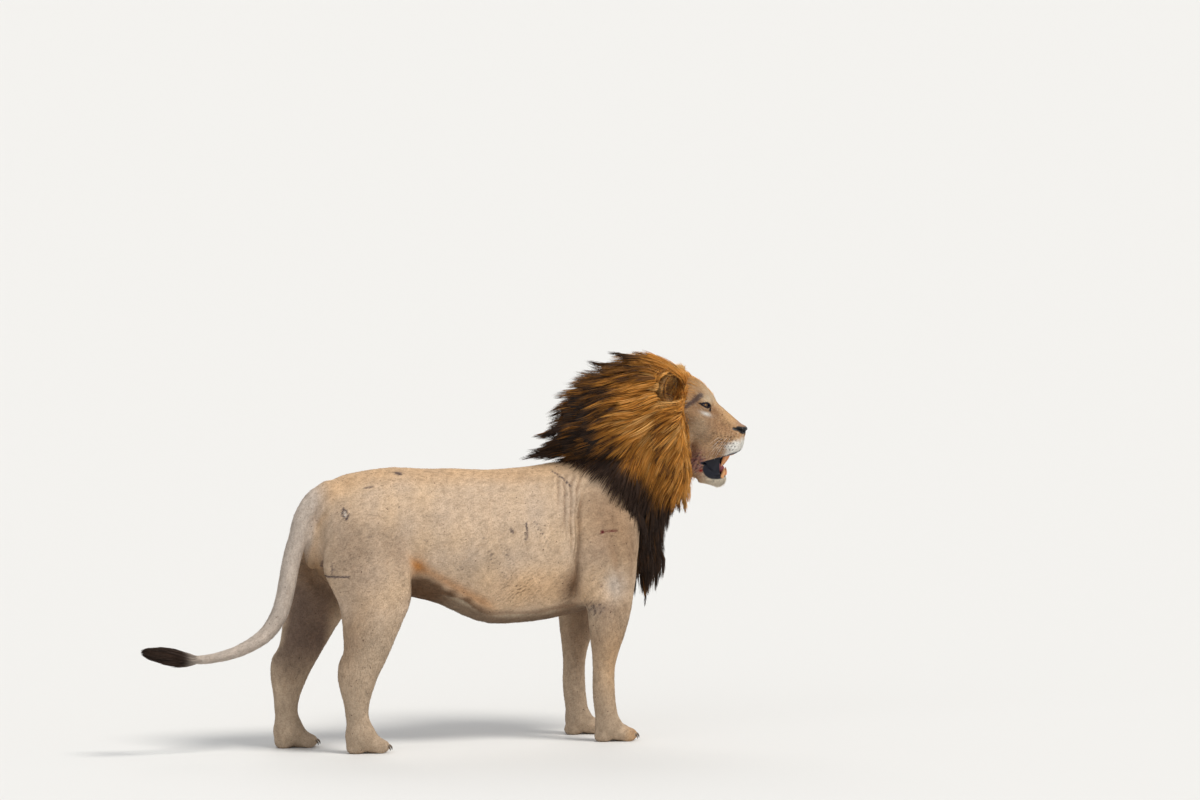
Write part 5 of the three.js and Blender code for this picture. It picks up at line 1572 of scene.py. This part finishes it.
CLAW_ROOT, CLAW_TIP = rgb(150, 132, 112), rgb(58, 48, 44)
for foot, (fx, fy) in enumerate(FEET):
    for toe, offset in enumerate(TOES):
        x, y = fx + (131 if toe in (1, 2) else 113), fy + offset
        horn(f"claw_{foot}_{toe}", [(x - 16, y, 42), (x - 2, y, 37), (x + 5, y, 27), (x + 5, y, 18)],
             [4, 4.2, 3.2, 0.8], CLAW_ROOT, CLAW_TIP, TEETH, 0.6, 10, lambda points: points)
tongue = horn("tongue_flesh", [(30, 0, -262), (60, 0, -256), (92, 0, -258), (116, 0, -262), (126, 0, -266)],
              [16, 22, 22, 17, 5], TONGUE_ROOT, TONGUE_TIP, FLESH, 0.36, 20)
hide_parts("tongue")

# ---- Whiskers ----
whisker_root, whisker_way = [], []
for side in SIDES:
    for row in range(4):
        for i in range(4):
            at = np.array([146 - i * 15.0, side * 62.0, -126 - row * 13.0])
            whisker_root.append(at)
            whisker_way.append([-0.15 - 0.1 * i, side * 1.0, -0.25 - 0.15 * row])
root = from_head(np.array(whisker_root).T)
for _ in range(6):
    d, g = gradient(skin_field, root)
    root = root - unit(g) * (d + 2)
way = unit(TO_BODY @ np.array(whisker_way).T)
s = np.linspace(0, 1, 7)[:, None, None]
reach = rng.uniform(45, 90, root.shape[1])
whisker = (root[None] + way[None] * reach * s + np.array([0, 0, -16.0])[None, :, None] * s**2)
whisker = whisker.transpose(2, 0, 1)
strands("whiskers", whisker, np.repeat(np.array([[[0, 0, 1.0]]]), len(whisker), 0).repeat(7, 1),
        np.full((len(whisker), 1), 0.4) * np.linspace(1, 0.3, 7)[None],
        np.tile(WHITE_HAIR, (len(whisker), 7, 1)), skin_uv_near(whisker[:, 0]), HAIR, 1.0)

# ---- Floor, light and camera ----
FLOOR_TONE, SKY_TONE = (0.76, 0.755, 0.74, 1), (0.93, 0.96, 1.0, 1)
bpy.ops.mesh.primitive_plane_add(size=160, location=(0, 0, 0))
floor = bpy.context.object
floor.name = "floor"
ground = bpy.data.materials.new("Floor")
ground.use_nodes = True
settings(ground.node_tree.nodes["Principled BSDF"], Base_Color=FLOOR_TONE, Roughness=0.9,
         Specular_IOR_Level=0.1)
floor.data.materials.append(ground)

world = bpy.data.worlds.new("Studio")
bpy.context.scene.world = world
world.use_nodes = True
nodes, links = world.node_tree.nodes, world.node_tree.links
rays = nodes.new("ShaderNodeLightPath")
sky = settings(nodes["Background"], Color=SKY_TONE, Strength=0.46)
white = settings(nodes.new("ShaderNodeBackground"), Strength=1.0)
seen = nodes.new("ShaderNodeMixShader")
either, any_of = (nodes.new("ShaderNodeMath") for _ in range(2))
either.operation = any_of.operation = "MAXIMUM"
for kind, into in (("Is Camera Ray", 0), ("Is Glossy Ray", 1)):
    links.new(rays.outputs[kind], either.inputs[into])
links.new(either.outputs[0], any_of.inputs[0])
links.new(rays.outputs["Is Transmission Ray"], any_of.inputs[1])
links.new(any_of.outputs[0], seen.inputs[0])
links.new(sky.outputs[0], seen.inputs[1])
links.new(white.outputs[0], seen.inputs[2])
links.new(seen.outputs[0], nodes["World Output"].inputs["Surface"])


def lamp(name, direction, width, strength, tone):
    data = bpy.data.lights.new(name, "SUN")
    data.angle, data.energy, data.color = math.radians(width), strength, tone
    thing = bpy.data.objects.new(name, data)
    bpy.context.collection.objects.link(thing)
    thing.rotation_euler = Vector(direction).to_track_quat("Z", "Y").to_euler()


lamp("key", (0.45, -0.62, 1.15), 20, 2.15, (1.0, 0.96, 0.90))
lamp("fill", (-0.9, -0.8, 0.5), 60, 0.5, (0.92, 0.96, 1.0))
lamp("rim", (0.2, 0.9, 0.8), 40, 0.6, (1.0, 0.98, 0.95))

AZIMUTH, ELEVATION, DISTANCE = math.radians(-22), math.radians(5.5), 60.0
LENS, SENSOR = 439.2, 36
AIM_RIGHT, AIM_UP = 0.4918033, 1.4139344  # metres from the body's own zero
right = Vector((math.cos(AZIMUTH), math.sin(AZIMUTH), 0))
back = Vector((math.sin(AZIMUTH) * math.cos(ELEVATION), -math.cos(AZIMUTH) * math.cos(ELEVATION),
               math.sin(ELEVATION)))
up = back.cross(right)
camera = bpy.data.objects.new("camera", bpy.data.cameras.new("camera"))
bpy.context.collection.objects.link(camera)
camera.data.lens, camera.data.sensor_width = LENS, SENSOR
camera.data.clip_end = 400
target = Vector(ROW_OFFSET) + right * AIM_RIGHT + up * AIM_UP
camera.location = target + back * DISTANCE
camera.rotation_euler = Matrix((right, up, back)).transposed().to_euler()
bpy.context.scene.camera = camera
bpy.context.scene.view_settings.view_transform = "Standard"
